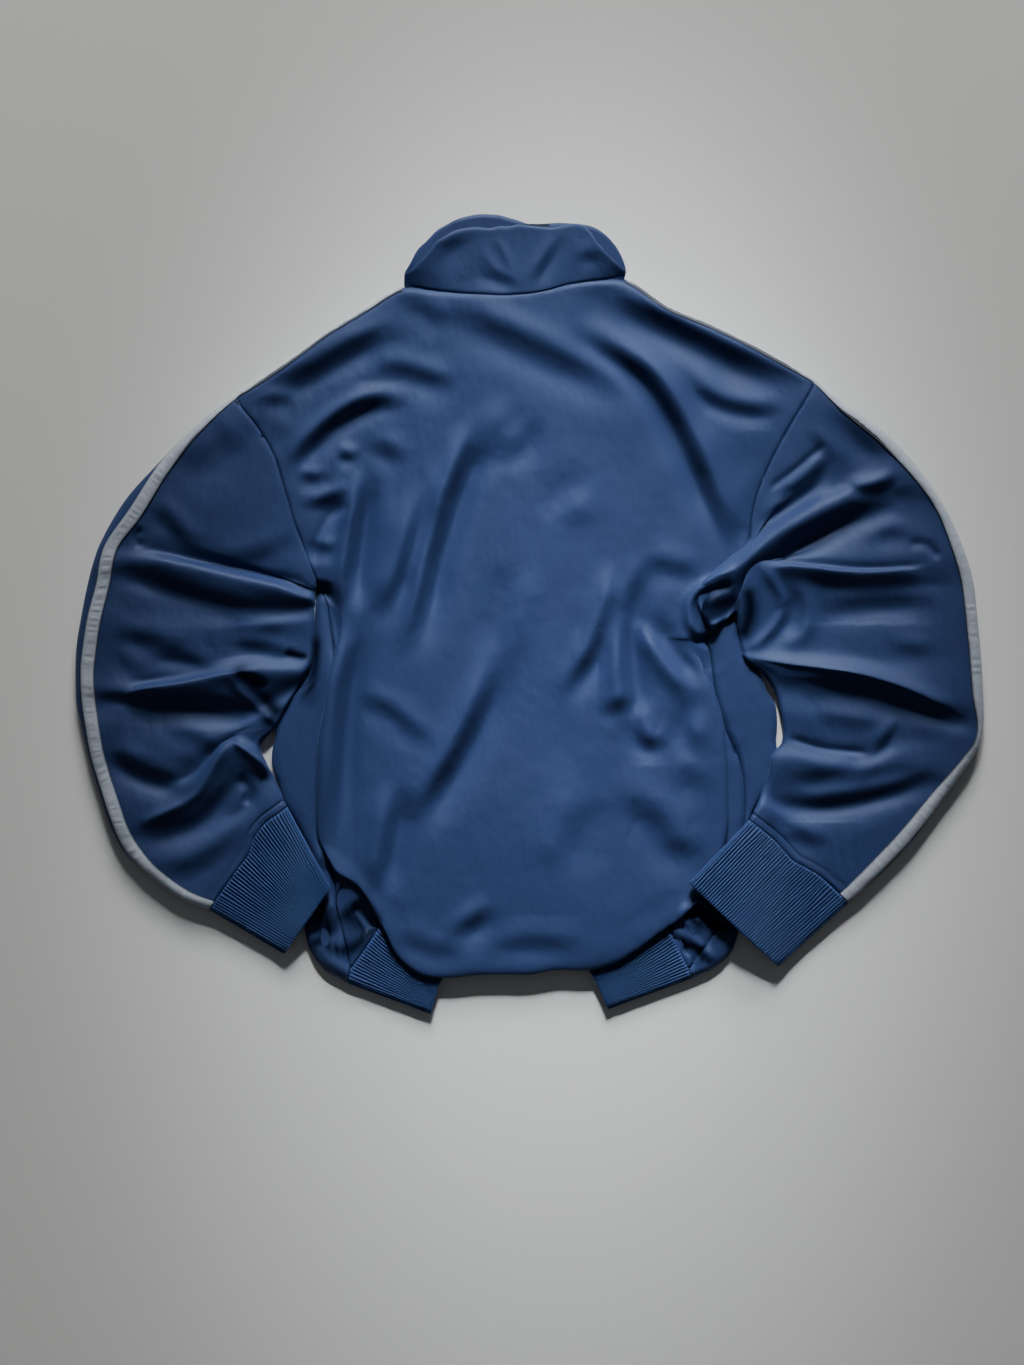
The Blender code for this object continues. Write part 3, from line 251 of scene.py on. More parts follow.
BACK_FOLDS = rows_of(Fold, (
    ("right diagonal", (62, 240), (119, 196), (178, 50), 12, -3.0),
    ("right diagonal crest", (110, 240), (150, 180), (190, 75), 16, 2.0),
    ("right shoulder", (50, 282), (122, 244), (240, 190), 12, -2.5),
    ("left shoulder", (-219, 206), (-160, 235), (-106, 256), 10, -2.0),
    ("left armhole", (-243, 173), (-219, 190), (-193, 188), 8, -2.5),
    ("left arc", (-206, 128), (-181, 162), (-105, 178), 10, -2.5),
    ("left blade", (-44, 176), (-70, 110), (-100, 15), 14, -2.0),
    ("left blade crest", (-80, 170), (-105, 90), (-125, 10), 14, 2.0),
    ("left side", (-153, 145), (-162, 84), (-155, 10), 9, -2.5),
    ("left low", (-26, -30), (-52, -110), (-105, -198), 12, -1.8),
    ("right low", (63, 5), (40, -60), (20, -130), 10, -1.5),
    ("right hip", (97, -30), (105, -80), (108, -118), 12, -2.5),
    ("swell", (0, -180), (20, -230), (60, -280), 60, 3.0),
))
print(len(BACK_FOLDS), "broad folds in the back")

# %% The collar's top edge
# The collar, from the zip round the wearer's back to the zip: where its top edge lies, one row for
# each point that it shares with the neck.
Collar = namedtuple("Collar", "name x y z")

COLLAR_TOP = rows_of(Collar, (
    ("left front end", -0.2, 345, 4.0),
    ("left front", -30, 350.5, 4.0),
    ("left front", -60, 346, 4.2),
    ("left front bend", -86, 329, 5.0),
    ("left bend", -110, 301, 12.0),
    ("left back bend", -91, 310, 17.0),
    ("left back", -63, 328, 15.0),
    ("left back", -38, 330, 13.5),
    ("middle back", -6, 342, 13.0),
    ("right back", 20, 341, 13.0),
    ("right back", 47, 343, 14.0),
    ("right back bend", 64, 322, 16.0),
    ("right bend", 86, 303, 11.5),
    ("right front bend", 79, 322, 5.2),
    ("right front", 60, 341, 4.4),
    ("right front", 32, 346, 4.0),
    ("right front end", 6.2, 345, 4.0),
))
print(len(COLLAR_TOP), "points round the collar")

# %% [markdown]
# ## Coarse grids
#
# Each panel is a grid of points worked out from the tables. A sleeve is a row of closed rings, one
# for each section; the back and the fronts are patches between their edges; the collar and the hem
# band run from the zip round the back to the zip. Building from shared edges means that two panels
# meet exactly, which welding separate sculpted pieces would not give.

# %% Curves


def dense(points, per_span=12):
    """A smooth curve through given points, as many closely spaced points."""
    p = np.asarray(points, float)
    p = np.vstack([2 * p[0] - p[1], p, 2 * p[-1] - p[-2]])
    t = np.linspace(0, 1, per_span, endpoint=False)[:, None]
    spans = [
        b + 0.5 * t * (c - a + t * (2 * a - 5 * b + 4 * c - d + t * (3 * (b - c) + d - a)))
        for a, b, c, d in zip(p, p[1:], p[2:], p[3:])
    ]
    return np.vstack([*spans, p[-2:-1]])


def run_of(line, axes=2):
    """Distance along a line at each of its points, seen from above or, with three axes, in space."""
    steps = np.linalg.norm(np.diff(line[:, :axes], axis=0), axis=1)
    return np.concatenate([[0.0], np.cumsum(steps)])


def read_at(wanted, marks, line):
    """A line whose points lie at marks, read at the wanted places."""
    return np.column_stack([np.interp(wanted, marks, line[:, k]) for k in range(line.shape[1])])


def at_distance(line, distances):
    return read_at(distances, run_of(line), line)


def at_share(points, shares):
    line = dense(points)
    return at_distance(line, np.asarray(shares) * run_of(line)[-1])


def even(first, last, count):
    """Shares from first to last in count steps."""
    return np.linspace(first, last, count + 1)


def smooth_step(x):
    x = np.clip(x, 0.0, 1.0)
    return x * x * (3 - 2 * x)


def unit(ways):
    length = np.linalg.norm(ways, axis=-1, keepdims=True)
    return ways / np.maximum(length, 1e-9)


def edge_bend(run):
    """How far in from a rounded edge cloth lies after run, and its share of the height."""
    quarter = EDGE_RADIUS * math.pi / 2
    turned = np.minimum(run, quarter) / EDGE_RADIUS
    inward = EDGE_RADIUS * (1 - np.cos(turned)) + np.maximum(run - quarter, 0)
    return inward, np.sin(turned)


def over_length(line):
    """Length of cloth that covers a line from rounded edge to rounded edge."""
    return run_of(line)[-1] + (math.pi - 2) * EDGE_RADIUS


print("hem seam", round(run_of(dense(HEM_SEAM))[-1]), "mm, bottom fold", end=" ")
print(round(run_of(dense(BOTTOM_FOLD))[-1]), "mm along")


# %% Sleeves and cuffs
# How far the inner corner of each cuff rises, and where: from x over a stretch across, and from y
# over a stretch down. -1 is the left sleeve.
Lift = namedtuple("Lift", "height x across y down")
CUFF_LIFTS = {-1: Lift(10.6, -222, 36, -160, 45), 1: Lift(15.0, 236, -68, -135, 40)}


def cuff_lift(side, x, y):
    """The inner corner of a cuff lies on the body, so the end of the sleeve rises towards it."""
    lift = CUFF_LIFTS[side]
    across, down = (x - lift.x) / lift.across, (lift.y - y) / lift.down
    return lift.height * smooth_step(across) * smooth_step(down)


HEAD_STEP = 7  # from a ring's first column to its second
HEAD_UNDER = (-9.4, -0.5)  # those two lie at least this far round the outer edge, underneath


def upper_points(upper, distances):
    """Points on top, at distances over the cloth from the outer edge."""
    width = run_of(upper)[-1]
    over = over_length(upper)
    near_outer = distances < over / 2
    inward, share = edge_bend(np.where(near_outer, distances, over - distances))
    points = at_distance(upper, np.where(near_outer, inward, width - inward))
    points[:, 2] = EDGE_Z + share * (points[:, 2] - EDGE_Z)
    return points


def lower_points(lower, distances, from_inner=False):
    """Points underneath, at distances over the cloth from the outer or the inner edge."""
    inward, share = edge_bend(distances)
    width = run_of(lower)[-1]
    points = at_distance(lower, width - inward if from_inner else inward)
    return np.column_stack([points[:, :2], EDGE_Z * (1 - share)])


def section_ring(upper, lower, tape, side):
    """The closed ring of one section: outer edge, over the top, inner edge, back underneath."""
    half = TAPE_WIDTH / 2
    over = over_length(upper)
    head_places = np.array([
        min(tape - RIM - HEAD_STEP, HEAD_UNDER[0]), min(tape - RIM, HEAD_UNDER[1]),
        tape - half, tape, tape + half, tape + RIM,
    ])
    below = head_places < 0
    head = np.empty((len(head_places), 3))
    head[below] = lower_points(lower, -head_places[below])
    head[~below] = upper_points(upper, head_places[~below])
    middle = np.linspace(tape + RIM, over - RIM, TOP_COLUMNS + 2)[1:-1]
    top = upper_points(upper, np.concatenate([middle, [over - RIM, over - half, over]]))
    floor = np.linspace(RIM, over_length(lower) + head_places[0], UNDER_COLUMNS + 2)[:-1]
    under = lower_points(lower, np.concatenate([[half], floor]), from_inner=True)
    ring = np.vstack([head, top, under])
    ring[:, 2] += cuff_lift(side, ring[:, 0], ring[:, 1])
    return ring


def sleeve_rings(sections, armhole, cuff_seam, cuff_tape, side):
    """One ring per section, from the armhole to the cuff."""
    arm = dense(armhole)
    share = (run_of(arm) / run_of(arm)[-1])[:, None]
    bow = arm[:, :2] - (arm[0, :2] + share * (arm[-1, :2] - arm[0, :2]))
    rings = [section_ring(arm, arm, 0.0, side)]
    for number, row in enumerate(sections, 1):
        outer, inner = np.array(row.outer), np.array(row.inner)
        ends = ((*outer, CROWN_Z), (*inner, (row.c[2] + CROWN_Z) / 2))
        upper = dense((ends[0], row.a, row.b, row.c, ends[1]))
        lower = outer + share * (inner - outer) + bow * max(0.0, 1 - number / BOW_ROWS)
        lower[:, 1] += row.bow * np.sin(math.pi * share[:, 0])
        rings.append(section_ring(upper, lower, float(row.tape), side))
    rings.append(end_ring(cuff_seam, cuff_tape, side))
    return np.array(rings)


def end_ring(points, tape, side):
    line = dense(points)
    upper = np.column_stack([line, np.full(len(line), CROWN_Z - 1)])
    return section_ring(upper, line, float(tape), side)


def cuff_rings(seam_ring, end, tape, side):
    """Rings from the sleeve's last one to the open end of the cuff, which is a little lower."""
    last = end_ring(end, tape, side)
    own_first = seam_ring[:, 2] - cuff_lift(side, seam_ring[:, 0], seam_ring[:, 1])
    own_last = (last[:, 2] - cuff_lift(side, last[:, 0], last[:, 1])) * CUFF_END_HEIGHT
    rings = [seam_ring]
    for share in even(0, 1, CUFF_ROWS)[1:]:
        ring = seam_ring + (last - seam_ring) * share
        ring[:, 2] = own_first + (own_last - own_first) * share
        ring[:, 2] += cuff_lift(side, ring[:, 0], ring[:, 1])
        rings.append(ring)
    return np.array(rings)


def back_armhole(ring):
    """The armhole's points on the back, from the shoulder to the armpit."""
    return ring[EDGE_COLUMN : INNER_COLUMN + 1]


def front_armhole(ring):
    under = [*range(EDGE_COLUMN, -1, -1), *range(RING_COLUMNS - 1, INNER_COLUMN - 1, -1)]
    return ring[under]


print(RING_COLUMNS, "points in a ring, and its inner edge at number", INNER_COLUMN)


# %% Edges that the back and the fronts share


def shoulder_row(shoulder, arm_point):
    """The shoulder seam from the armhole to the neck, with close steps beside the armhole."""
    line = dense(shoulder)
    rest = np.linspace(SIDE_STEPS[-1], run_of(line)[-1], SHOULDER_COLUMNS + 1)[1:]
    plan = at_distance(line, np.concatenate([SIDE_STEPS, rest]))
    row = np.column_stack([plan, np.full(len(plan), EDGE_Z)])
    row[0] = arm_point
    return row


def side_shares():
    """Shares of a side seam where rows meet it: beside the upper layer, then beside the flap."""
    upper = FLAP_FROM * even(0, 1, SIDE_ROWS) ** ROW_GROWTH
    return np.concatenate([upper, even(FLAP_FROM, 1, FLAP_ROWS)[1:]])[1:]


def side_seam_row(seam, armpit):
    plan = at_share(seam, side_shares())
    settled = smooth_step(np.arange(1, len(plan) + 1) / 2)
    return np.column_stack([plan, armpit[2] + (SIDE_Z - armpit[2]) * settled])


TURNED_BY = 0.6  # the share of an armhole by which its columns run level


def side_ways(shoulder, count, side):
    """Unit vectors from an armhole into the body: along the shoulder first, then level."""
    along = unit(np.subtract(shoulder[1], shoulder[0]).astype(float))
    level = np.array([-side, 0.0])
    turned = smooth_step(np.arange(count) / (TURNED_BY * count))[:, None]
    return unit(along + (level - along) * turned)


def hem_row(first, last, count):
    plan = at_share(HEM_SEAM, even(0, 1, count - 1))
    row = np.column_stack([plan, np.full(count, RIB_Z + SEAM_GAP)])
    row[0], row[-1] = first, last
    return row


def patch(top, bottom, left, right):
    """Points between four edges that share their corners, seen from above."""
    u = (run_of(top) / run_of(top)[-1])[None, :, None]
    v = (run_of(left) / run_of(left)[-1])[:, None, None]
    across = (1 - u) * left[:, None, :2] + u * right[:, None, :2]
    upper_bow = top[None, :, :2] - (1 - u) * top[0, :2] - u * top[-1, :2]
    lower_bow = bottom[None, :, :2] - (1 - u) * bottom[0, :2] - u * bottom[-1, :2]
    return across + (1 - v) ** 2 * upper_bow + v**2 * lower_bow


print("rows meet a side seam at", np.round(side_shares(), 2).tolist())


# %% The back
BACK_Z = CROWN_Z + 0.4  # height of the back between its creases
NECK_Z = CROWN_Z - 0.4  # height of the back's neck in its middle


def back_height(x, y):
    """Height of the back's upper layer away from its edges, with its creases."""
    z = np.full(np.shape(x), BACK_Z)
    for fold in BACK_FOLDS:
        line = dense((fold.start, fold.middle, fold.end))
        away = np.hypot(np.subtract.outer(x, line[:, 0]), np.subtract.outer(y, line[:, 1]))
        z = z + fold.rise * np.exp(-((away.min(axis=-1) / fold.width) ** 2))
    return z


def edge_shares(count):
    """Shares of the full height for the first rows in from a rounded edge."""
    shares = np.ones(count)
    shares[:2] = 0.0, edge_bend(TAPE_WIDTH / 2)[1]
    return shares


FOLD_ROUND = 0.8  # how far a pleat's folded edge takes to turn over


def back_side(arm, seam, edge, shoulder, side):
    """Five points a row: in from the armhole and, further down, round the pleat under the side."""
    rows = []
    shares = edge_shares(len(arm))
    eased = smooth_step(SIDE_STEPS / SIDE_STEPS[-1])
    for point, way, share in zip(arm, side_ways(shoulder, len(arm), side), shares):
        plan = point[:2] + SIDE_STEPS[:, None] * way
        top = EDGE_Z + share * (back_height(*plan[-1]) - EDGE_Z)
        rows.append(np.column_stack([plan, point[2] + (top - point[2]) * eased]))
    level = np.array([-side, 0.0])
    for number in range(SIDE_ROWS):
        pleated = smooth_step((number + PLEAT_START) / PLEAT_ROWS)
        start, fold = seam[number], edge[number]
        bend = fold + max(PLEAT, (start[:2] - fold) @ level + SEAM_TO_BEND) * level
        steps = (SIDE_STEPS / SIDE_STEPS[-1])[:, None]
        flat = start[:2] + steps * (fold + SIDE_STEPS[-1] * level - start[:2])
        flat_z = start[2] + (CROWN_Z - start[2]) * eased
        folded = np.array([start[:2], bend, bend, fold, fold + FOLD_ROUND * level])
        folded_z = np.array([start[2], *PLEAT_HEIGHTS])
        plan = flat + pleated * (folded - flat)
        rows.append(np.column_stack([plan, flat_z + pleated * (folded_z - flat_z)]))
    return np.array(rows)


def back_top_row(left_arm, right_arm):
    """Shoulder, neck and shoulder: the back's upper edge from armhole to armhole."""
    left = shoulder_row(LEFT_SHOULDER, left_arm[0])
    right = shoulder_row(RIGHT_SHOULDER, right_arm[0])
    shares = even(0, 1, BACK_NECK_COLUMNS)
    neck_z = EDGE_Z + (NECK_Z - EDGE_Z) * np.sin(math.pi * shares) ** 0.5
    neck = np.column_stack([at_share(BACK_NECK, shares), neck_z])
    return np.vstack([left, neck[1:-1], right[::-1]])


def back_grid(left_arm, right_arm, left_seam, right_seam):
    top = back_top_row(left_arm, right_arm)
    shares = even(0, 1, SIDE_ROWS)[1:] ** ROW_GROWTH
    left = back_side(left_arm, left_seam, at_share(LEFT_PLEAT_EDGE, shares), LEFT_SHOULDER, -1)
    right = back_side(right_arm, right_seam, at_share(RIGHT_PLEAT_EDGE, shares), RIGHT_SHOULDER, 1)
    left[0] = top[: PLEAT_COLUMNS + 1]
    right[0] = top[: -PLEAT_COLUMNS - 2 : -1]
    inner_top = top[PLEAT_COLUMNS : len(top) - PLEAT_COLUMNS]
    fold = at_share(BOTTOM_FOLD, even(0, 1, len(inner_top) - 1))
    fold[0], fold[-1] = left[-1, -1, :2], right[-1, -1, :2]
    plan = patch(inner_top, fold, left[:, -1], right[:, -1])
    z = back_height(plan[..., 0], plan[..., 1])
    z[-1] = FOLD_Z
    rise = edge_shares(len(z))[:, None]
    z = inner_top[None, :, 2] + np.where(rise > 0, rise, 0) * (z - inner_top[None, :, 2])
    z[:, 0], z[:, -1] = left[:, -1, 2], right[:, -1, 2]
    sheet = np.hstack([left[:, :-1], np.dstack([plan, z]), right[:, -2::-1]])
    return np.vstack([sheet, flap_rows(sheet[-1], left_seam, right_seam)])


# The cloth begins to blouse 0.55 / 3.4 of the way from a side to the middle, and its rows then lie
# at these shares of the way from the bottom fold to the seam.
BLOUSE_RISE, BLOUSE_FROM = 3.4, 0.55
BLOUSE_SHARES = (0, 0.3, 0.65)


def flap_rows(fold, left_seam, right_seam):
    """Four rows round the bottom fold, in under it and on to the seam of the hem band.

    In the middle the cloth is bloused: it turns under and runs back up over the band. Beside the
    sides it tucks in under the fold by FLAP_TUCK and comes out again to the seam.
    """
    count = len(fold)
    hem = hem_row(left_seam[-1], right_seam[-1], count)
    place = 1 - np.abs(np.linspace(-1, 1, count))
    bloused = smooth_step(place * BLOUSE_RISE - BLOUSE_FROM)[:, None]
    base = fold[:, :2]
    along = np.gradient(base, axis=0)
    tuck = base + FLAP_TUCK * unit(np.column_stack([-along[:, 1], along[:, 0]]))
    seam = hem[:, :2]
    tucked = (base, tuck, (tuck + seam) / 2, seam)
    blown = [base + share * (seam - base) for share in BLOUSE_SHARES] + [seam]
    rows = []
    for plan_in, plan_up, z_in, z_up in zip(tucked, blown, TUCKED_HEIGHTS, BLOWN_HEIGHTS):
        plan = plan_in + bloused * (plan_up - plan_in)
        rows.append(np.column_stack([plan, z_in + bloused * (z_up - z_in)]))
    rows = np.array(rows)
    steps = even(0, 1, PLEAT_COLUMNS)[:, None]
    for seam_row, columns in ((left_seam, range(5)), (right_seam, range(-1, -6, -1))):
        columns = list(columns)
        for number, start in enumerate(seam_row[-FLAP_ROWS:]):
            rows[number, columns] = start + steps * (rows[number, columns[-1]] - start)
    return rows


crests = [back_height(*np.array(fold.middle)) for fold in BACK_FOLDS]
print("the back's folds lie between", round(min(crests), 1), "and", round(max(crests), 1), "mm high")


# %% The fronts
SIDE_FALL, ARMPIT_FALL = 9.0, 4.5  # how far in from the armhole a front takes to reach the table
ROUND_ABOVE, ROUND_BELOW = 2.6, 2.4  # how far in from its edge a side layer is rounded
NEAR_FLOOR_Z = 0.7  # height of the lower of those two places
FRONT_NECK_SHARES = (1.0, 0.85, 0.5)  # how high the first rows of a front lie under the collar


def front_side(arm, seam, outer, floor, shoulder, side):
    """Five points a row: in from the armhole and, lower down, from the side seam round the edge."""
    rows = []
    ways = side_ways(shoulder, len(arm), side)
    for number, (point, way) in enumerate(zip(arm, ways)):
        at_armpit = number == len(arm) - 1
        steps = ARMPIT_STEPS if at_armpit else SIDE_STEPS
        fall = 1 - smooth_step(steps / (ARMPIT_FALL if at_armpit else SIDE_FALL))
        rows.append(np.column_stack([point[:2] + steps[:, None] * way, point[2] * fall]))
    rows[1][:, 2] = arm[1, 2]
    middle = SIDE_Z / 2
    for top, edge, bottom in zip(seam, outer, floor):
        reach = np.linalg.norm(top[:2] - edge)
        near_top = edge + min(0.6 * reach, ROUND_ABOVE) * unit(top[:2] - edge)
        near_floor = edge + ROUND_BELOW * unit(bottom - edge)
        rows.append(np.array([
            top,
            [*near_top, middle + 0.8 * (top[2] - middle)],
            [*edge, middle],
            [*near_floor, NEAR_FLOOR_Z],
            [*bottom, 0.0],
        ]))
    return np.array(rows)


def front_hem(start, zip_x, count, side):
    """The front's lower edge, along the seam of the hem band from near the side to the zip."""
    line = dense(HEM_SEAM)[:: -1 if side > 0 else 1]
    kept = line[(line[:, 0] - zip_x) * side > 0]
    nearest = int(np.argmin(np.linalg.norm(kept - start, axis=1)))
    end = np.array([zip_x, kept[-1, 1]])
    route = np.vstack([start, kept[nearest + 2 :], end])
    return at_distance(route, even(0, 1, count - 1) * run_of(route)[-1])


def front_grid(arm, seam, outer_edge, floor_line, shoulder, neck, side):
    outer, floor = (at_share(line, side_shares()) for line in (outer_edge, floor_line))
    edge = front_side(arm, seam, outer, floor, shoulder, side)
    neck_shares = even(0, 1, FRONT_NECK_COLUMNS)[1:]
    neck_z = EDGE_Z + (FRONT_NECK_Z - EDGE_Z) * neck_shares**0.5
    neck_row = np.column_stack([at_share(neck, neck_shares), neck_z])
    top = np.vstack([shoulder_row(shoulder, arm[0]), neck_row])
    edge[0] = top[: PLEAT_COLUMNS + 1]
    inner_top = top[PLEAT_COLUMNS:]
    zip_x = ZIP_X + side * ZIP_HALF_GAP
    hem = front_hem(edge[-1, -1, :2], zip_x, len(inner_top), side)
    shares = (run_of(edge[:, -1]) / run_of(edge[:, -1])[-1])[:, None]
    zip_top = np.array([zip_x, inner_top[-1, 1]])
    zip_line = zip_top + shares * (hem[-1] - zip_top)
    plan = patch(inner_top, hem, edge[:, -1], zip_line)
    z = np.zeros(plan.shape[:2])
    on_neck = np.arange(plan.shape[1]) > SHOULDER_COLUMNS
    for row, neck_share in enumerate(FRONT_NECK_SHARES):
        shoulder_share = 1 - edge_bend(row * TAPE_WIDTH / 2)[1]
        z[row] = inner_top[:, 2] * np.where(on_neck, neck_share, shoulder_share)
    z[:, 0] = edge[:, -1, 2]
    return np.hstack([edge[:, :-1], np.dstack([plan, z])])


# %% The collar and the hem band
def collar_grid(back, left, right):
    """Rows from the neck seam to the top edge; columns from the zip round the back to the zip."""
    neck = PLEAT_COLUMNS + SHOULDER_COLUMNS
    base = np.vstack([
        left[0, : neck : -1], back[0, neck : neck + BACK_NECK_COLUMNS + 1], right[0, neck + 1 :],
    ])
    top = np.array([(row.x, row.y, row.z) for row in COLLAR_TOP], float)
    shares = even(0, 1, COLLAR_ROWS)[:, None, None]
    return base + shares * (top - base)


# Where the band turns round its two sides: shares of its free edge and of its height, and the
# shares of the edge at which its lower and its upper layer begin.
BAND_ROUND, BAND_RISE = np.array([0.012, 0.0, 0.012]), (0.85, 0.5, 0.08)
UNDER_FROM, OVER_FROM = 0.05, 0.03


def band_grid(back, left, right):
    """Rows from the hem seam to the free edge; columns from the zip round the back to the zip."""
    seam = np.vstack([left[-1, :0:-1], back[-1], right[-1, 1:]])
    seam[:, 2] = np.minimum(seam[:, 2], RIB_Z)
    line = dense(HEM_FREE_EDGE)
    zip_share = np.interp(ZIP_X, line[:, 0], run_of(line) / run_of(line)[-1])
    fronts = left.shape[1] - 1
    inner = fronts - len(BAND_ROUND)
    left_shares = np.concatenate([BAND_ROUND, np.linspace(UNDER_FROM, zip_share, inner)])
    right_shares = np.concatenate([1 - BAND_ROUND, np.linspace(1 - UNDER_FROM, zip_share, inner)])
    over = even(OVER_FROM, 1 - OVER_FROM, back.shape[1] - 1)
    shares = np.concatenate([left_shares[::-1], over, right_shares])
    rise = np.concatenate([BAND_RISE, np.zeros(inner)])
    z = BAND_END_Z * np.concatenate([rise[::-1], np.ones(back.shape[1]), rise])
    free = np.column_stack([at_distance(line, shares * run_of(line)[-1]), z])
    free[0, 0], free[-1, 0] = ZIP_X - ZIP_HALF_GAP, ZIP_X + ZIP_HALF_GAP
    return seam + even(0, 1, BAND_ROWS)[:, None, None] * (free - seam)


print("hem band's free edge", round(run_of(dense(HEM_FREE_EDGE))[-1]), "mm along")


# %% All panels
def jacket_grids():
    """Every panel as a grid of points on its outer face, keyed by name."""
    grids = {}
    sides = (
        ("left", -1, LEFT_SECTIONS, LEFT_ARMHOLE, LEFT_CUFF_SEAM, LEFT_CUFF_END, CUFF_TAPES[0],
         LEFT_SIDE_SEAM, LEFT_OUTER_EDGE, LEFT_FLOOR_LINE, LEFT_SHOULDER, LEFT_FRONT_NECK),
        ("right", 1, RIGHT_SECTIONS, RIGHT_ARMHOLE, RIGHT_CUFF_SEAM, RIGHT_CUFF_END, CUFF_TAPES[1],
         RIGHT_SIDE_SEAM, RIGHT_OUTER_EDGE, RIGHT_FLOOR_LINE, RIGHT_SHOULDER, RIGHT_FRONT_NECK),
    )
    arms, seams = [], []
    for name, side, sections, armhole, cuff_seam, cuff_end, tape, seam, *lines in sides:
        sleeve = sleeve_rings(sections, armhole, cuff_seam, tape, side)
        grids["sleeve_" + name] = sleeve
        grids["cuff_" + name] = cuff_rings(sleeve[-1], cuff_end, tape, side)
        arm = back_armhole(sleeve[0])
        seam_row = side_seam_row(seam, arm[-1])
        under = front_armhole(sleeve[0])
        grids["front_" + name] = front_grid(under, seam_row, *lines, side)
        arms.append(arm)
        seams.append(seam_row)
    left, right = grids["front_left"], grids["front_right"]
    grids["back"] = back_grid(*arms, *seams)
    grids["collar"] = collar_grid(grids["back"], left, right)
    grids["hem_rib"] = band_grid(grids["back"], left, right)
    return grids


# For each panel: whether its columns close into a ring, which way its cells turn, its wall, the
# rows and the columns that meet a seam.
Panel = namedtuple("Panel", "name closed outward wall rows columns")

PANELS = rows_of(Panel, (
    ("back", False, -1, CLOTH, (0, -1), (0, -1)),
    ("front_left", False, 1, CLOTH, (0, -1), (0,)),
    ("front_right", False, -1, CLOTH, (0, -1), (0,)),
    ("sleeve_left", True, -1, CLOTH, (0, -1), ()),
    ("sleeve_right", True, 1, CLOTH, (0, -1), ()),
    ("collar", False, 1, COLLAR_CLOTH, (0,), ()),
    ("cuff_left", True, -1, RIB, (0,), ()),
    ("cuff_right", True, 1, RIB, (0,), ()),
    ("hem_rib", False, -1, RIB, (0,), ()),
))

FRONT_ARM_ROWS = EDGE_COLUMN + RING_COLUMNS - INNER_COLUMN
grids = jacket_grids()
for name, grid in grids.items():
    print(name, "coarse grid", grid.shape[:2])

# %% [markdown]
# ## From coarse points to cloth
#
# The grids above hold only the points where the jacket's form changes. Real cloth is smooth between
# them, so a cubic curve is run through every column and then through every row, with close steps
# where a fold has to be sharp. An alternative is a Subdivision Surface, but it pulls away from the
# points that it is given, and these seams have to stay where they are.

# %% Smooth fine grids
def knots(grid, axis):
    """Distances from the first row (axis 0) or column (axis 1), averaged over the grid."""
    steps = np.linalg.norm(np.diff(grid, axis=axis), axis=2).mean(axis=1 - axis)
    return np.concatenate([[0.0], np.cumsum(np.maximum(steps, 0.3))])


def places(marks, step):
    """Places through all the marks, an even number between each two, about step apart."""
    found = [marks[:1]]
    for a, b, near in zip(marks, marks[1:], np.broadcast_to(step, len(marks) - 1)):
        count = 2 * max(1, round((b - a) / (2 * near)))
        found.append(np.linspace(a, b, count + 1)[1:])
    return np.concatenate(found)


def cubic(points, marks, wanted):
    """A curve through points (first axis) that lie at marks, read at the wanted places."""
    gaps = np.diff(marks)
    rise = np.diff(points, axis=0) / gaps[:, None, None]
    slope = np.empty_like(points)
    share = (gaps[:-1] / (gaps[:-1] + gaps[1:]))[:, None, None]
    slope[1:-1] = (1 - share) * rise[:-1] + share * rise[1:]
    slope[0], slope[-1] = rise[0], rise[-1]
    i = np.clip(np.searchsorted(marks, wanted, side="right") - 1, 0, len(gaps) - 1)
    u = ((wanted - marks[i]) / gaps[i])[:, None, None]
    h = gaps[i][:, None, None]
    return (
        (1 + 2 * u) * (1 - u) ** 2 * points[i]
        + u * (1 - u) ** 2 * h * slope[i]
        + u**2 * (3 - 2 * u) * points[i + 1]
        + u**2 * (u - 1) * h * slope[i + 1]
    )


def wrapped(grid, before=2, after=3):
    """A ring opened out: its last columns again before the first, and its first after the last."""
    return np.concatenate([grid[:, -before:], grid, grid[:, :after]], axis=1)


Fine = namedtuple("Fine", "grid rows columns index share")


def finer(grid, row_step, column_step, closed=False):
    """The grid with many more rows and columns, and where the old ones now are.

    index says which old column each new one lies at, as a fraction, and share how far round it is.
    """
    rows = knots(grid, 0)
    row_places = places(rows, row_step)
    if closed:
        ring = wrapped(grid)
        marks = knots(ring, 1)
        wanted = places(marks[2:-2], column_step)[:-1]
        columns, whole = marks[2:-3], marks[2:-2]
    else:
        ring, marks = grid, knots(grid, 1)
        wanted = places(marks, column_step)
        columns = whole = marks
    across = cubic(ring.transpose(1, 0, 2), marks, wanted).transpose(1, 0, 2)
    fine = cubic(across, rows, row_places)
    fine[..., 2] = np.maximum(fine[..., 2], 0.0)
    at_rows = np.searchsorted(row_places, rows - 1e-6)
    at_columns = np.searchsorted(wanted, columns - 1e-6)
    index = np.interp(wanted, whole, np.arange(len(whole)))
    share = (wanted - whole[0]) / (whole[-1] - whole[0])
    return Fine(fine, at_rows, at_columns, index, share)


print("places about 3 mm apart on 10 mm:", places(np.array([0.0, 10.0]), 3.0).tolist())


# %% [markdown]
# ## Creases
#
# Each crease is a soft ridge or trough: a line over the cloth, how far it rises, and a half
# width on either side of the line. A narrow side beside a wide one makes the crisp edge of a
# fold, and a lean pushes the crest over its narrow side, so that the cloth overhangs there.

# %% The creases, in millimetres
Crease = namedtuple("Crease", "name line rise left right lean", defaults=(0.0,))

# A turn is a band of cloth that slopes: it stands high on its left-hand side and low on its right.
Turn = namedtuple("Turn", "name line rise left right")
CREASES, TURNS = {}, {}

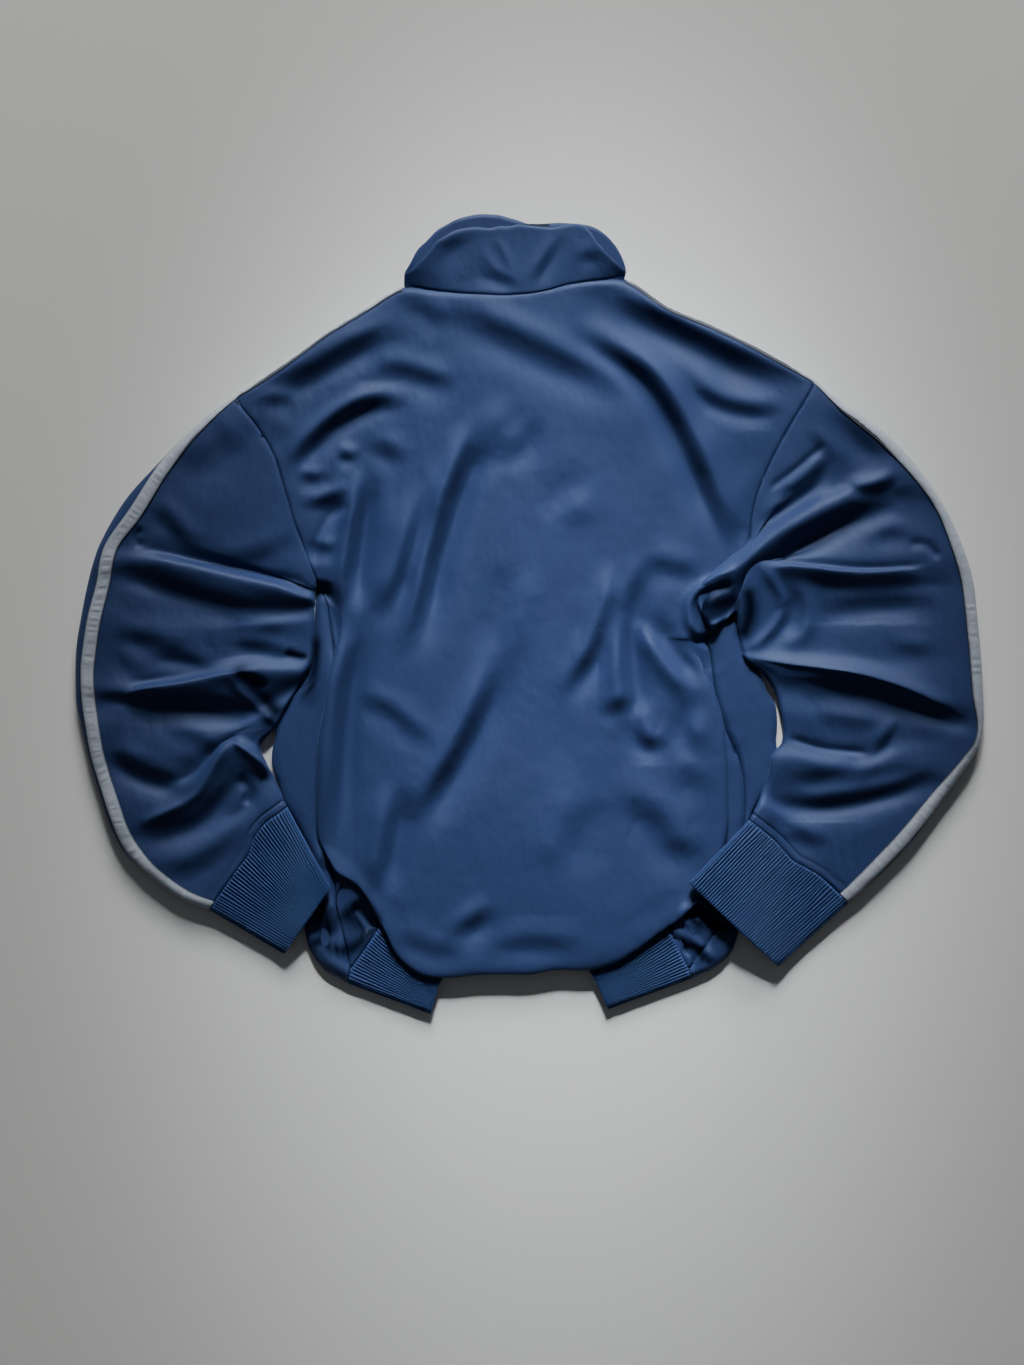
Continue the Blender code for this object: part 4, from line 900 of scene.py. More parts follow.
# %% Creases of the left sleeve
CREASES["sleeve_left"] = rows_of(Crease, (
    ("fold 1 hook", ((-341, 78), (-346, 68), (-341, 58)), -2.2, 3.5, 3),
    ("fold 1 edge", ((-344, 58), (-328, 56), (-294, 48), (-246, 38), (-191, 28)), -2.2, 4.5, 1.8),
    ("fold 1 crest", ((-349, 51), (-294, 40), (-246, 29), (-196, 20)), 2.2, 5.0, 8, 1.6),
    ("fold 1 fill", ((-372, 24), (-334, 15), (-290, 4), (-246, -4), (-202, -9)), 3.2, 9, 13),
    ("fold 2 fill", ((-378, -82), (-334, -87), (-290, -92), (-254, -99)), 2.6, 9, 12),
    ("fold 2 edge", ((-356, -70), (-347, -61), (-304, -55), (-263, -48), (-234, -46)), -3.0, 5, 1.8),
    ("fold 2 crest", ((-362, -76), (-342, -68), (-304, -62), (-263, -54), (-233, -52)), 4.0, 3.5, 7, 2.2),
    ("flap pocket", ((-258, -54), (-244, -57), (-231, -66)), -5.0, 5, 6),
    ("flap edge", ((-265, -54), (-252, -69), (-235, -85), (-219, -99)), 3.2, 4.5, 3.5),
    ("inner pocket", ((-216, -34), (-209, -37), (-200, -41)), -3.0, 5, 5),
    ("fold 4 crest", ((-346, -186), (-316, -173), (-297, -163), (-284, -149), (-262, -108)), 3.2, 5, 4,
     1.0),
    ("fold 4 arm", ((-262, -108), (-244, -122), (-223, -137)), 3.0, 5, 4),
    ("swirl", ((-258, -142), (-247, -154), (-251, -168)), -2.6, 5, 5),
))
TURNS["sleeve_left"] = rows_of(Turn, (
    ("shoulder fall", ((-318, 128), (-285, 141), (-254, 167)), 1.7, 12, 14),
    ("soft diagonal", ((-334, 101), (-314, 80), (-293, 55)), 2.1, 8, 8),
    ("below cap", ((-293, 59), (-268, 48), (-235, 55), (-202, 77)), 1.3, 9, 9),
    ("fold 1 fall", ((-367, 47), (-334, 33), (-294, 18), (-254, 8), (-203, 4)), 3.2, 8, 14),
    ("fold 1 low", ((-276, -3), (-246, -10), (-202, -11)), 1.6, 8, 9),
    ("soft 1", ((-372, -15), (-334, -22), (-285, -33)), 1.4, 8, 8),
    ("soft 2", ((-342, -33), (-307, -37), (-270, -47)), 1.7, 7, 6),
    ("soft 3", ((-268, -24), (-235, -29), (-200, -38)), 2.3, 7, 7),
    ("fold 2 fall", ((-374, -75), (-334, -77), (-281, -77), (-249, -82), (-226, -94)), 3.6, 8, 13),
    ("fold 4 trough", ((-374, -114), (-351, -132), (-326, -144), (-293, -154)), 3.6, 9, 8),
    ("fold 4 fall", ((-344, -196), (-318, -187), (-290, -176), (-270, -152), (-261, -128)), 3.4, 8, 9),
    ("swirl fall", ((-277, -179), (-258, -170), (-235, -145)), 2.3, 7, 6),
    ("arm fall", ((-246, -129), (-235, -138), (-224, -143)), 1.8, 5, 6),
    ("cap wrinkle", ((-284, 189), (-270, 163), (-261, 135)), 1.0, 8, 8),
    ("elbow wrinkle", ((-367, -22), (-353, -43), (-334, -54)), 1.2, 7, 7),
    ("arm wrinkle", ((-325, -101), (-293, -108), (-267, -128)), 1.3, 7, 8),
    ("cuff soft", ((-334, -216), (-307, -223), (-275, -207), (-256, -182)), 1.6, 9, 10),
))
print(len(CREASES["sleeve_left"]), "creases and", len(TURNS["sleeve_left"]), "turns")

# %% Creases of the right sleeve
CREASES["sleeve_right"] = rows_of(Crease, (
    ("long fill", ((221, 24), (282, 13), (331, 15), (379, 18)), 2.6, 9, 12),
    ("low fill", ((221, -59), (282, -70), (326, -83), (375, -103)), 2.6, 9, 12),
    ("short edge", ((209, 108), (235, 128), (263, 152)), -2.4, 3.5, 2.0),
    ("pipe crest", ((183, 40), (213, 72), (249, 97), (270, 112)), 3.0, 8, 6),
    ("long edge", ((198, 47), (235, 46), (290, 41), (331, 42), (355, 48)), -2.4, 5, 1.8),
    ("long crest", ((202, 40), (235, 40), (290, 35), (348, 39)), 3.4, 3.5, 6, 2.0),
    ("long hook", ((332, 62), (349, 62), (362, 48)), -2.2, 4, 4),
    ("branch", ((200, 45), (214, 31), (224, 11), (217, -9), (190, -35)), 3.0, 5, 5),
    ("low crest", ((189, -36), (230, -41), (282, -48), (326, -60), (370, -80), (390, -92)), 3.6, 7, 3.0,
     -2.2),
    ("tuck edge", ((226, -108), (260, -118), (301, -122)), -2.6, 4.5, 2),
    ("loop rim", ((184, 42), (161, 33), (146, 21), (142, 8), (145, -8), (152, -19)), 3.0, 3.0, 2.6),
    ("loop hollow", ((180, 27), (165, 23), (151, 13), (149, 1)), -6.5, 4.5, 4),
    ("loop lip", ((154, -14), (168, -5), (184, 8)), 2.6, 2.6, 2.6),
    ("loop shade", ((161, -20), (173, -12), (186, -1)), -3.0, 3, 3),
))
TURNS["sleeve_right"] = rows_of(Turn, (
    ("shoulder fall", ((267, 187), (288, 161), (319, 135)), 2.1, 8, 9),
    ("short fall", ((214, 101), (241, 117), (268, 143)), 2.3, 4.5, 5.5),
    ("short fall 2", ((200, 82), (225, 97), (249, 114), (264, 135)), 2.1, 4.5, 5),
    ("wave", ((275, 121), (290, 112), (312, 115), (328, 128)), 2.1, 5, 5),
    ("pipe fall", ((208, 52), (234, 68), (272, 85), (331, 108)), 3.9, 9, 8),
    ("under cap", ((291, 62), (320, 72), (346, 65)), 1.6, 7, 7),
    ("long fall", ((210, 36), (238, 31), (290, 24), (331, 26), (379, 27)), 2.7, 8, 13),
    ("branch fall", ((224, 29), (238, 13), (237, -11), (214, -27)), 2.9, 7, 10),
    ("long low", ((243, -4), (282, 10), (326, 13), (369, 15)), 2.1, 8, 9),
    ("low fall", ((217, -50), (238, -57), (282, -61), (326, -74), (366, -91), (390, -99)), 3.1, 7, 12),
    ("tuck fall", ((298, -129), (312, -112), (328, -87)), 2.1, 6, 5),
    ("tuck low", ((230, -143), (265, -138), (298, -129)), 1.6, 8, 8),
    ("cuff fall", ((209, -160), (244, -165), (282, -162), (326, -151), (369, -135)), 3.4, 7, 7),
    ("cap wrinkle", ((238, 163), (258, 150), (272, 128)), 1.2, 6, 6),
    ("elbow wrinkle", ((309, -22), (337, -31), (365, -29)), 1.2, 7, 8),
    ("arm wrinkle", ((247, -85), (282, -94), (319, -96)), 1.3, 7, 8),
    ("cuff soft", ((226, -186), (244, -196), (263, -207)), 1.8, 8, 8),
))
print(len(CREASES["sleeve_right"]), "creases and", len(TURNS["sleeve_right"]), "turns")

# %% Creases of the back
CREASES["back"] = rows_of(Crease, (
    ("loop rim", ((183, 43), (168, 32), (150, 23), (142, 13), (141, 1), (145, -13), (154, -22)), 5.5, 3.6,
     4.5),
    ("left corner pit", ((-156, -254), (-145, -267), (-136, -280)), -7.5, 8, 8),
    ("right corner rim", ((142, -253), (135, -263), (142, -273), (156, -270)), 3.0, 3.5, 3.5),
    ("right corner pit", ((143, -259), (158, -260)), -6.0, 4.5, 4.5),
    ("right corner ridge", ((126, -279), (142, -284), (156, -295)), 3.2, 3.5, 4),
    ("right corner pit 2", ((130, -290), (143, -297)), -3.0, 4, 4),
    ("triangle", ((-156, 99), (-177, 84), (-188, 59), (-189, 36)), -3.0, 5, 6),
))
TURNS["back"] = rows_of(Turn, (
    ("left shoulder", ((-235, 193), (-202, 210), (-162, 233), (-112, 258)), 4.6, 9, 10),
    ("left pucker", ((-249, 179), (-228, 189), (-196, 186)), 1.6, 6, 7),
    ("left arc", ((-210, 115), (-202, 138), (-175, 168), (-138, 187), (-101, 184)), 5.1, 7, 7),
    ("left arc low", ((-147, 156), (-126, 145), (-103, 131)), 2.1, 8, 8),
    ("lens", ((-143, 217), (-115, 216), (-89, 209), (-59, 198)), 2.2, 8, 9),
    ("triangle top", ((-202, 91), (-177, 101), (-152, 110)), 2.8, 6, 7),
    ("triangle short", ((-172, 140), (-161, 140), (-150, 135)), 2.0, 5, 5),
    ("left vertical", ((-163, -3), (-156, 48), (-149, 97), (-143, 135)), 7.0, 7, 8),
    ("left side", ((-172, -207), (-169, -128), (-165, -75), (-156, -22), (-152, 13)), 6.3, 9, 9),
    ("blade", ((-110, -43), (-99, -13), (-92, 18), (-82, 62), (-64, 119), (-45, 165), (-33, 184)), 8.5, 8,
     10),
    ("blade left", ((-143, -6), (-121, 17), (-103, 66), (-87, 119)), 4.2, 9, 9),
    ("low left", ((-106, -196), (-82, -154), (-59, -114), (-38, -70), (-20, -22)), 6.2, 10, 11),
    ("low left 2", ((-131, -251), (-125, -202), (-115, -145)), 4.6, 9, 9),
    ("low left short", ((-158, -70), (-126, -82), (-103, -101), (-82, -121)), 1.8, 8, 9),
    ("neck diagonal", ((-92, 279), (-43, 258), (10, 233), (59, 210), (106, 186)), 3.4, 11, 13),
    ("neck left", ((-121, 277), (-96, 272), (-68, 251)), 1.8, 9, 9),
    ("right shoulder", ((54, 290), (115, 261), (177, 230), (244, 200)), 6.3, 9, 11),
    ("right shoulder low", ((142, 224), (154, 196), (186, 182), (230, 180)), 2.6, 7, 7),
    ("diagonal", ((27, 258), (71, 233), (106, 207), (135, 161), (158, 108), (180, 48)), 7.4, 9, 8),
    ("middle", ((27, -80), (43, -54), (59, -26), (73, 17), (77, 52)), 5.1, 8, 9),
    ("middle 2", ((108, -117), (98, -97), (87, -66), (84, -22), (92, 22), (112, 55)), 5.9, 9, 9),
    ("under arm", ((98, 52), (122, 43), (156, 36)), 1.7, 9, 9),
    ("waist", ((156, -70), (133, -50), (111, -22), (94, 3)), 4.4, 8, 9),
    ("hip lens", ((55, -85), (75, -80), (98, -70)), 1.5, 7, 7),
    ("hip fall", ((68, -168), (94, -168), (114, -182), (129, -203), (165, -209)), 2.9, 12, 13),
    ("hip rise", ((117, -138), (142, -143), (166, -159)), 1.5, 11, 12),
    ("middle notch", ((98, -66), (96, -94), (105, -112), (126, -108)), 3.2, 7, 8),
    ("bottom", ((-71, -290), (-52, -272), (-26, -254)), 2.7, 8, 9),
    ("bottom 2", ((-43, -295), (-4, -288), (54, -291)), 1.6, 9, 9),
    ("bottom 3", ((-121, -274), (-92, -291), (-52, -297)), 1.6, 9, 9),
    ("upper middle", ((-26, 128), (-8, 154), (1, 179)), 3.1, 10, 10),
    ("armhole left 1", ((-210, 128), (-191, 121), (-172, 126)), 1.6, 5, 6),
    ("armhole left 2", ((-198, 66), (-179, 59), (-163, 66)), 1.4, 5, 6),
    ("shoulder blade", ((-59, 128), (-38, 143), (-8, 191)), 2.1, 10, 10),
    ("spine", ((-8, 48), (-18, 4), (-26, -40)), 2.3, 13, 13),
    ("lower spine", ((27, -233), (38, -189), (61, -154)), 2.1, 14, 14),
    ("right low", ((150, -75), (142, -101), (150, -131)), 3.1, 8, 9),
    ("centre", ((59, 119), (36, 101), (24, 75)), 2.1, 12, 12),
))
print(len(CREASES["back"]), "creases and", len(TURNS["back"]), "turns")

# %% Creases of the fronts and the collar
CREASES["front_left"] = rows_of(Crease, (
    ("corner rim", ((-186, -254), (-175, -258), (-168, -270), (-165, -286), (-170, -298)), 4.8, 3.5, 4),
    ("corner pit", ((-189, -270), (-183, -281), (-176, -291)), -6.0, 4, 5),
    ("corner pit 2", ((-165, -258), (-158, -270), (-156, -282)), -6.0, 4, 4),
    ("corner swell", ((-182, -300), (-166, -311), (-156, -314)), 2.0, 4, 4),
))
CREASES["front_right"] = rows_of(Crease, (
    ("corner ridge", ((154, -293), (161, -305)), 2.5, 4, 4),
    ("corner pit", ((165, -265), (174, -277)), -4.0, 5, 5),
))
TURNS["front_left"] = rows_of(Turn, (
    ("side fall", ((-202, -200), (-186, -217), (-173, -233)), 2.6, 6, 6),
))
TURNS["collar"] = rows_of(Turn, (
    ("v left", ((-52, 311), (-26, 298), (-3, 286)), 1.8, 5, 6),
    ("v right", ((-1, 286), (14, 311), (27, 337)), 1.8, 5, 5),
    ("dent", ((-36, 321), (-24, 311), (-15, 295)), 1.3, 4, 5),
    ("left fall", ((-87, 305), (-68, 316), (-45, 323)), 1.4, 6, 6),
    ("right soft", ((38, 311), (54, 316), (68, 311)), 1.1, 6, 6),
))
print(sum(map(len, CREASES.values())), "creases and", sum(map(len, TURNS.values())), "turns in all")


# %% How a crease moves the cloth
REACH = 2.4  # how far a crease acts, in half widths of its wider side
SHORT_LINE = 60  # a turn of fewer points than this, a millimetre apart, eases along all of its length
TURN_ENDS, SHORT_TURN_ENDS, CREASE_ENDS = 0.36, 0.5, 0.2  # share of a line that eases at each end


def resampled(line, step=1.0):
    smooth = dense(line, 16)
    length = run_of(smooth)[-1]
    return at_distance(smooth, np.linspace(0, length, max(3, int(length / step))))


def crease_amount(x, y, crease):
    """How strongly a crease acts at each point, from 0 to 1, and the way to its left-hand side.

    A turn acts upwards on its left-hand side and downwards on its right, from -1 to 1.
    """
    line = resampled(crease.line)
    run = run_of(line) / run_of(line)[-1]
    is_turn = isinstance(crease, Turn)
    turn_end = SHORT_TURN_ENDS if len(line) < SHORT_LINE else TURN_ENDS
    end = turn_end if is_turn else CREASE_ENDS
    ease = smooth_step(run / end) * smooth_step((1 - run) / end)
    along = unit(np.gradient(line, axis=0))
    amount = np.zeros(np.shape(x))
    way = np.zeros((*np.shape(x), 2))
    reach = REACH * max(crease.left, crease.right)
    low, high = line.min(axis=0) - reach, line.max(axis=0) + reach
    near = (x > low[0]) & (x < high[0]) & (y > low[1]) & (y < high[1])
    if not near.any():
        return amount, way
    dx = np.subtract.outer(x[near], line[:, 0])
    dy = np.subtract.outer(y[near], line[:, 1])
    best = np.argmin(dx**2 + dy**2, axis=1)
    row = np.arange(len(best))
    ahead = along[best]
    side = ahead[:, 0] * dy[row, best] - ahead[:, 1] * dx[row, best]
    forward = ahead[:, 0] * dx[row, best] + ahead[:, 1] * dy[row, best]
    away = np.hypot(side, np.maximum(np.abs(forward) - 0.6, 0))
    turned = side / np.maximum(away, 1e-6)
    width = (crease.left + crease.right + (crease.left - crease.right) * turned) / 2
    if is_turn:
        part = side / width
        amount[near] = part * np.exp((1 - (away / width) ** 2) / 2) * ease[best]
    else:
        amount[near] = np.exp(-((away / width) ** 2)) * ease[best]
    way[near] = np.column_stack([-ahead[:, 1], ahead[:, 0]])
    return amount, way


def ways_of(grid, outward, closed=False):
    """Outward unit normals of a fine grid."""
    down = np.gradient(grid, axis=0)
    if closed:
        across = (np.roll(grid, -1, axis=1) - np.roll(grid, 1, axis=1)) / 2
    else:
        across = np.gradient(grid, axis=1)
    return unit(np.cross(across, down)) * outward


def creased(name, grid, outward, closed=False):
    """The grid with the panel's creases pressed into its upper side."""
    up = smooth_step((ways_of(grid, outward, closed)[..., 2] - 0.15) / 0.5)
    up = up * smooth_step((grid[..., 2] - 4.0) / 3.0)
    out = grid.copy()
    for crease in CREASES.get(name, ()) + TURNS.get(name, ()):
        amount, way = crease_amount(grid[..., 0], grid[..., 1], crease)
        amount = amount * up
        out[..., 2] += crease.rise * amount
        if isinstance(crease, Crease) and crease.lean:
            out[..., :2] += crease.lean * amount[..., None] * way
    return out


first_crease = CREASES["sleeve_left"][0]
middle = np.array(first_crease.line[1:2], float)
share = crease_amount(middle[:, 0], middle[:, 1], first_crease)[0]
print(first_crease.name, "acts in full at its middle:", share.round(2).tolist())

# %% [markdown]
# ## Fine panels
#
# Every panel gets its fine grid and its creases. A seam is one line on two panels, so the edge of
# the second panel is pulled onto the edge of the first, and the pull fades out over the cloth
# beside it. Working on whole grids in numpy keeps this quick and exact.

# %% Fine grids with creases
SLEEVE_STEPS = np.array([3, 1.8, 1.6, 1.6, 1.8, *[1.9] * 7, 1.8, 2.2, 5, 6, 6, 6], float)
STEPS = {
    "back": (2.1, 2.15),
    "front_left": (2.2, 2.4),
    "front_right": (2.2, 2.4),
    "sleeve_left": (1.5, SLEEVE_STEPS),
    "sleeve_right": (1.5, SLEEVE_STEPS),
    "collar": (1.3, 2.2),
    "cuff_left": (2.6, 0.37),
    "cuff_right": (2.6, 0.37),
    "hem_rib": (3.6, 0.43),
}
fine, at_row, at_column, column_index, column_share = {}, {}, {}, {}, {}
for panel in PANELS:
    name = panel.name
    found = finer(grids[name], *STEPS[name], panel.closed)
    at_row[name], at_column[name] = found.rows, found.columns
    column_index[name], column_share[name] = found.index, found.share
    creased_here = name in CREASES or name in TURNS
    fine[name] = creased(name, found.grid, panel.outward, panel.closed) if creased_here else found.grid
for name, grid in fine.items():
    print(name, grid.shape[:2], "points")


# %% Let the sleeves' inner edges touch the body
# Each row: panel, where along the body the edge moves (from and to, in y), the x it lies near, and
# how far it moves in x and y. Only cloth higher than "above" moves.
Touch = namedtuple("Touch", "panel low high x move rise above", defaults=(0.0, 0.0))
TOUCHES = rows_of(Touch, (
    ("sleeve_left", -62, 22, -192, 4.2),
    ("front_left", -62, 22, -188, -2.6),
    ("front_left", -150, -22, -212, -9.0),
    ("front_left", -250, -128, -202, -6.0),
    ("front_left", -92, -30, -200, -6.5),
    ("front_left", -184, -108, -216, -5.0),
    ("front_left", -250, -176, -190, -5.0),
    ("front_right", -84, -22, 196, 9.0),
    ("front_right", -204, -132, 206, 6.0),
    ("front_right", -46, 14, 177, 2.5, 12.0),
    ("front_right", -190, -108, 208, 4.0),
    ("front_right", -190, -60, 214, 3.5),
    ("sleeve_right", -180, -112, 224, -8.0),
    ("sleeve_right", -30, 16, 180, -1.5, -4.0),
))
# The collar's left half: the x of each touch, how far all of its cloth moves in x and y, and how
# far the cloth higher than COLLAR_BACK moves in y after that.
COLLAR_TOUCHES = (
    (-94, -2.5, 3.5, 2.0), (-78, -2.0, 5.0, 5.0), (-62, -1.0, 4.5, 6.0),
    (-46, 0.0, 4.0, 8.0), (-30, 0.0, 3.0, 5.5), (-14, 0.0, 1.5, 1.5),
)
COLLAR_BACK = 9.0
TOUCHES += tuple(Touch("collar", 296, 378, x, move, rise) for x, move, rise, _ in COLLAR_TOUCHES)
TOUCHES += tuple(
    Touch("collar", 300, 380, x, 0.0, rise, COLLAR_BACK) for x, _, _, rise in COLLAR_TOUCHES
)
# Millimetres over which a touch fades out at its low end, its high end, to its sides and in height.
FADE_LOW, FADE_HIGH, FADE_SIDE, FADE_HEIGHT = 22, 14, 16, 2
for touch in TOUCHES:
    grid = fine[touch.panel]
    x, y = grid[..., 0], grid[..., 1]
    there = smooth_step((y - touch.low) / FADE_LOW) * smooth_step((touch.high - y) / FADE_HIGH)
    there = there * smooth_step(1 - np.abs(x - touch.x) / FADE_SIDE)
    there = there * smooth_step((grid[..., 2] - touch.above + 1) / FADE_HEIGHT)
    grid[..., 0] += touch.move * there
    grid[..., 1] += touch.rise * there
    moved = (touch.move, touch.rise)
    print(touch.panel, "edge moved by", moved, "mm at", int((there > 0.5).sum()), "points")


# %% Pull neighbouring edges together
def pull(name, axis, edge, first, last, target, reach=22.0):
    """Moves one edge of a panel onto a target line, and the cloth beside it part of the way.

    axis 0 is a row and axis 1 a column; edge is which one, and first to last the stretch along it.
    """
    view = fine[name] if axis == 0 else fine[name].transpose(1, 0, 2)
    line = view[edge, first : last + 1]
    run = run_of(line, 3)
    goal_run = run_of(target, 3)
    goal = read_at(run / run[-1] * goal_run[-1], goal_run, target)
    shift = goal - line
    order = range(len(view)) if edge == 0 else range(len(view) - 1, -1, -1)
    away, before = 0.0, line
    for number in order:
        row = view[number, first : last + 1].copy()
        away = away + np.linalg.norm(row - before, axis=1)
        before = row
        weight = 1 - smooth_step(away / reach)
        view[number, first : last + 1] = row + weight[:, None] * shift
        if np.all(away > reach):
            break
    return float(np.abs(shift).max())


def ring_part(name, row, first, last):
    """Points of a ring from one coarse column to another, going up, or round past the start."""
    ring = fine[name][row]
    a, b = at_column[name][first], at_column[name][last]
    return ring[a : b + 1] if a <= b else np.vstack([ring[a:], ring[: b + 1]])


LAST = -1
NECK = PLEAT_COLUMNS + SHOULDER_COLUMNS


def neck_place(side):
    """How many fine columns of the back lie between one of its sides and the collar."""
    columns = at_column["back"]
    return columns[NECK] if side == "left" else columns[-1] - columns[NECK + BACK_NECK_COLUMNS]


for side in ("left", "right"):
    sleeve, front = "sleeve_" + side, "front_" + side
    arm_rows = at_row["back"][INNER_COLUMN - EDGE_COLUMN]
    upper = ring_part(sleeve, 0, EDGE_COLUMN, INNER_COLUMN)
    column = 0 if side == "left" else LAST
    moved = [pull("back", 1, column, 0, arm_rows, upper)]
    lower = ring_part(sleeve, 0, INNER_COLUMN, EDGE_COLUMN)[::-1]
    front_arm = at_row[front][FRONT_ARM_ROWS]
    moved.append(pull(front, 1, 0, 0, front_arm, lower))
    side_line = fine["back"][arm_rows:, column]
    moved.append(pull(front, 1, 0, front_arm, len(fine[front]) - 1, side_line))
    top = fine["back"][0] if side == "left" else fine["back"][0, ::-1]
    moved.append(pull(front, 0, 0, 0, at_column[front][NECK], top[: neck_place(side) + 1]))
    ring = np.vstack([fine[sleeve][-1], fine[sleeve][-1, :1]])
    index = np.append(column_index[sleeve], RING_COLUMNS)
    cuff = "cuff_" + side
    shift = read_at(column_index[cuff], index, ring) - fine[cuff][0]
    down = np.linspace(0, 1, len(fine[cuff]))[:, None, None]
    fine[cuff] += (1 - smooth_step(down * 2.5)) * shift
    moved.append(float(np.abs(shift).max()))
    print(side, "edges moved by up to", np.round(moved, 2), "mm")


def pull_first_row(name, lines, reach):
    """Pulls a panel's first row onto lines end to end, each with its count of coarse columns."""
    first = 0
    for count, line in lines:
        a, b = at_column[name][first], at_column[name][first + count]
        print(name, "edge moved by up to", round(pull(name, 0, 0, a, b, line, reach), 2), "mm")
        first += count


back_columns = at_column["back"]
pull_first_row("collar", (
    (FRONT_NECK_COLUMNS, fine["front_left"][0, : at_column["front_left"][NECK] - 1 : -1]),
    (BACK_NECK_COLUMNS,
     fine["back"][0, back_columns[NECK] : back_columns[NECK + BACK_NECK_COLUMNS] + 1]),
    (FRONT_NECK_COLUMNS, fine["front_right"][0, at_column["front_right"][NECK] :]),
), 14.0)
pull_first_row("hem_rib", (
    (grids["front_left"].shape[1] - 1, fine["front_left"][-1, ::-1]),
    (grids["back"].shape[1] - 1, fine["back"][-1]),
    (grids["front_right"].shape[1] - 1, fine["front_right"][-1]),
), 16.0)

# %% [markdown]
# ## Seams, ribs and walls
#
# Along a sewn seam the thread draws the cloth down into a narrow valley, with short puckers beside
# it. Topstitching presses a shallow groove. Both are pressed into the fine grid along its normals.
# The cuffs and the hem band are rib knit: rows of round ridges, modelled because they show.

# %% Grooves along seams
def from_edge(grid, axis, edge):
    """Distance of every point from one edge of its grid, over the cloth."""
    steps = np.linalg.norm(np.diff(grid, axis=axis), axis=2)
    run = np.cumsum(steps, axis=axis)
    run = np.concatenate([np.zeros_like(np.take(run, [0], axis=axis)), run], axis=axis)
    return run if edge == 0 else np.take(run, [-1], axis=axis) - run


def groove(away, depth, half_width, at=0.0):
    return -depth * np.exp(-(((away - at) / half_width) ** 2))


PUCKER_REACH = 9.0  # how far puckers reach from their seam
PUCKER_SHIFT = 0.35  # how far a pucker may lie from its even place, as a share of the spacing


def puckers(along, away, height, pitch, seed):
    """Short uneven ridges square to a seam, fading out away from it."""
    chance = np.random.default_rng(seed)
    length = float(along.max()) + pitch
    shifts = chance.uniform(-PUCKER_SHIFT, PUCKER_SHIFT, int(length / pitch) + 2) * pitch
    knots_at = np.arange(0, length + pitch, pitch) + shifts
    heights = chance.uniform(-1, 1, len(knots_at))
    wave = np.interp(along, np.sort(knots_at), heights)
    return height * wave * np.exp(-away / PUCKER_REACH)


# Each row is a seam: panel, axis and edge, depth and half width of the groove, and the height and
# spacing of its puckers.
SeamLine = namedtuple("SeamLine", "panel axis edge depth half pucker pitch")
SEAM_LINES = rows_of(SeamLine, (
    ("back", 1, 0, 0.9, 1.5, 0.55, 7.0),
    ("back", 1, -1, 0.9, 1.5, 0.5, 8.0),
    ("back", 0, 0, 0.6, 1.2, 0.3, 6.0),
    ("back", 0, -1, 0.6, 1.2, 0.5, 7.0),
    ("front_left", 1, 0, 0.8, 1.4, 0.4, 7.0),
    ("front_right", 1, 0, 0.8, 1.4, 0.4, 8.0),
    ("front_left", 0, -1, 0.6, 1.2, 0.5, 7.0),
    ("front_right", 0, -1, 0.6, 1.2, 0.5, 7.0),
    ("sleeve_left", 0, 0, 0.9, 1.5, 0.5, 8.0),
    ("sleeve_right", 0, 0, 0.9, 1.5, 0.5, 7.0),
    ("sleeve_left", 0, -1, 0.8, 1.1, 0.35, 6.0),
    ("sleeve_right", 0, -1, 0.8, 1.1, 0.35, 6.0),
    ("collar", 0, 0, 0.7, 1.2, 0.3, 6.0),
))
COVER_STITCH = 7.0  # the line of stitches beside a cuff or the hem band, from the seam
COVER_GROOVE = (0.8, 1.0)  # depth and half width of the groove under that line
COLLAR_EDGE_GROOVE = (0.8, 1.4)
print(len(SEAM_LINES), "seams with a groove and puckers")


def seam_relief(name, grid):
    relief = np.zeros(grid.shape[:2])
    for seed, line in enumerate(SEAM_LINES, 11):
        if line.panel != name:
            continue
        away = from_edge(grid, line.axis, line.edge)
        along = from_edge(grid, 1 - line.axis, 0)
        relief += groove(away, line.depth, line.half)
        relief += puckers(along, away, line.pucker, line.pitch, seed)
    last = from_edge(grid, 0, -1)
    if name == "collar":
        return relief + groove(last, *COLLAR_EDGE_GROOVE)
    return relief + groove(last, *COVER_GROOVE, COVER_STITCH)


# %% Ribs
RIB_DEPTH = 1.25
RIB_POWER = 1.7  # above 1, the ridges are wider than the grooves between them
RIBS = {"cuff_left": 82, "cuff_right": 88, "hem_rib": 280}


def rib_relief(name, grid):
    """Round ridges from the seam to the free edge, less deep at both, where the knit is held."""
    count = RIBS[name]
    phase = (column_share[name] * count) % 1.0
    ridge = -((0.5 + 0.5 * np.cos(math.tau * phase)) ** RIB_POWER)
    seam = from_edge(grid, 0, 0).mean(axis=1)
    free = from_edge(grid, 0, -1).mean(axis=1)
    held = smooth_step((seam + 1.0) / 3.0) * smooth_step((free + 1.2) / 3.0)
    return RIB_DEPTH * held[:, None] * ridge[None, :]


print(sum(RIBS.values()), "ribs,", RIB_DEPTH, "mm deep")
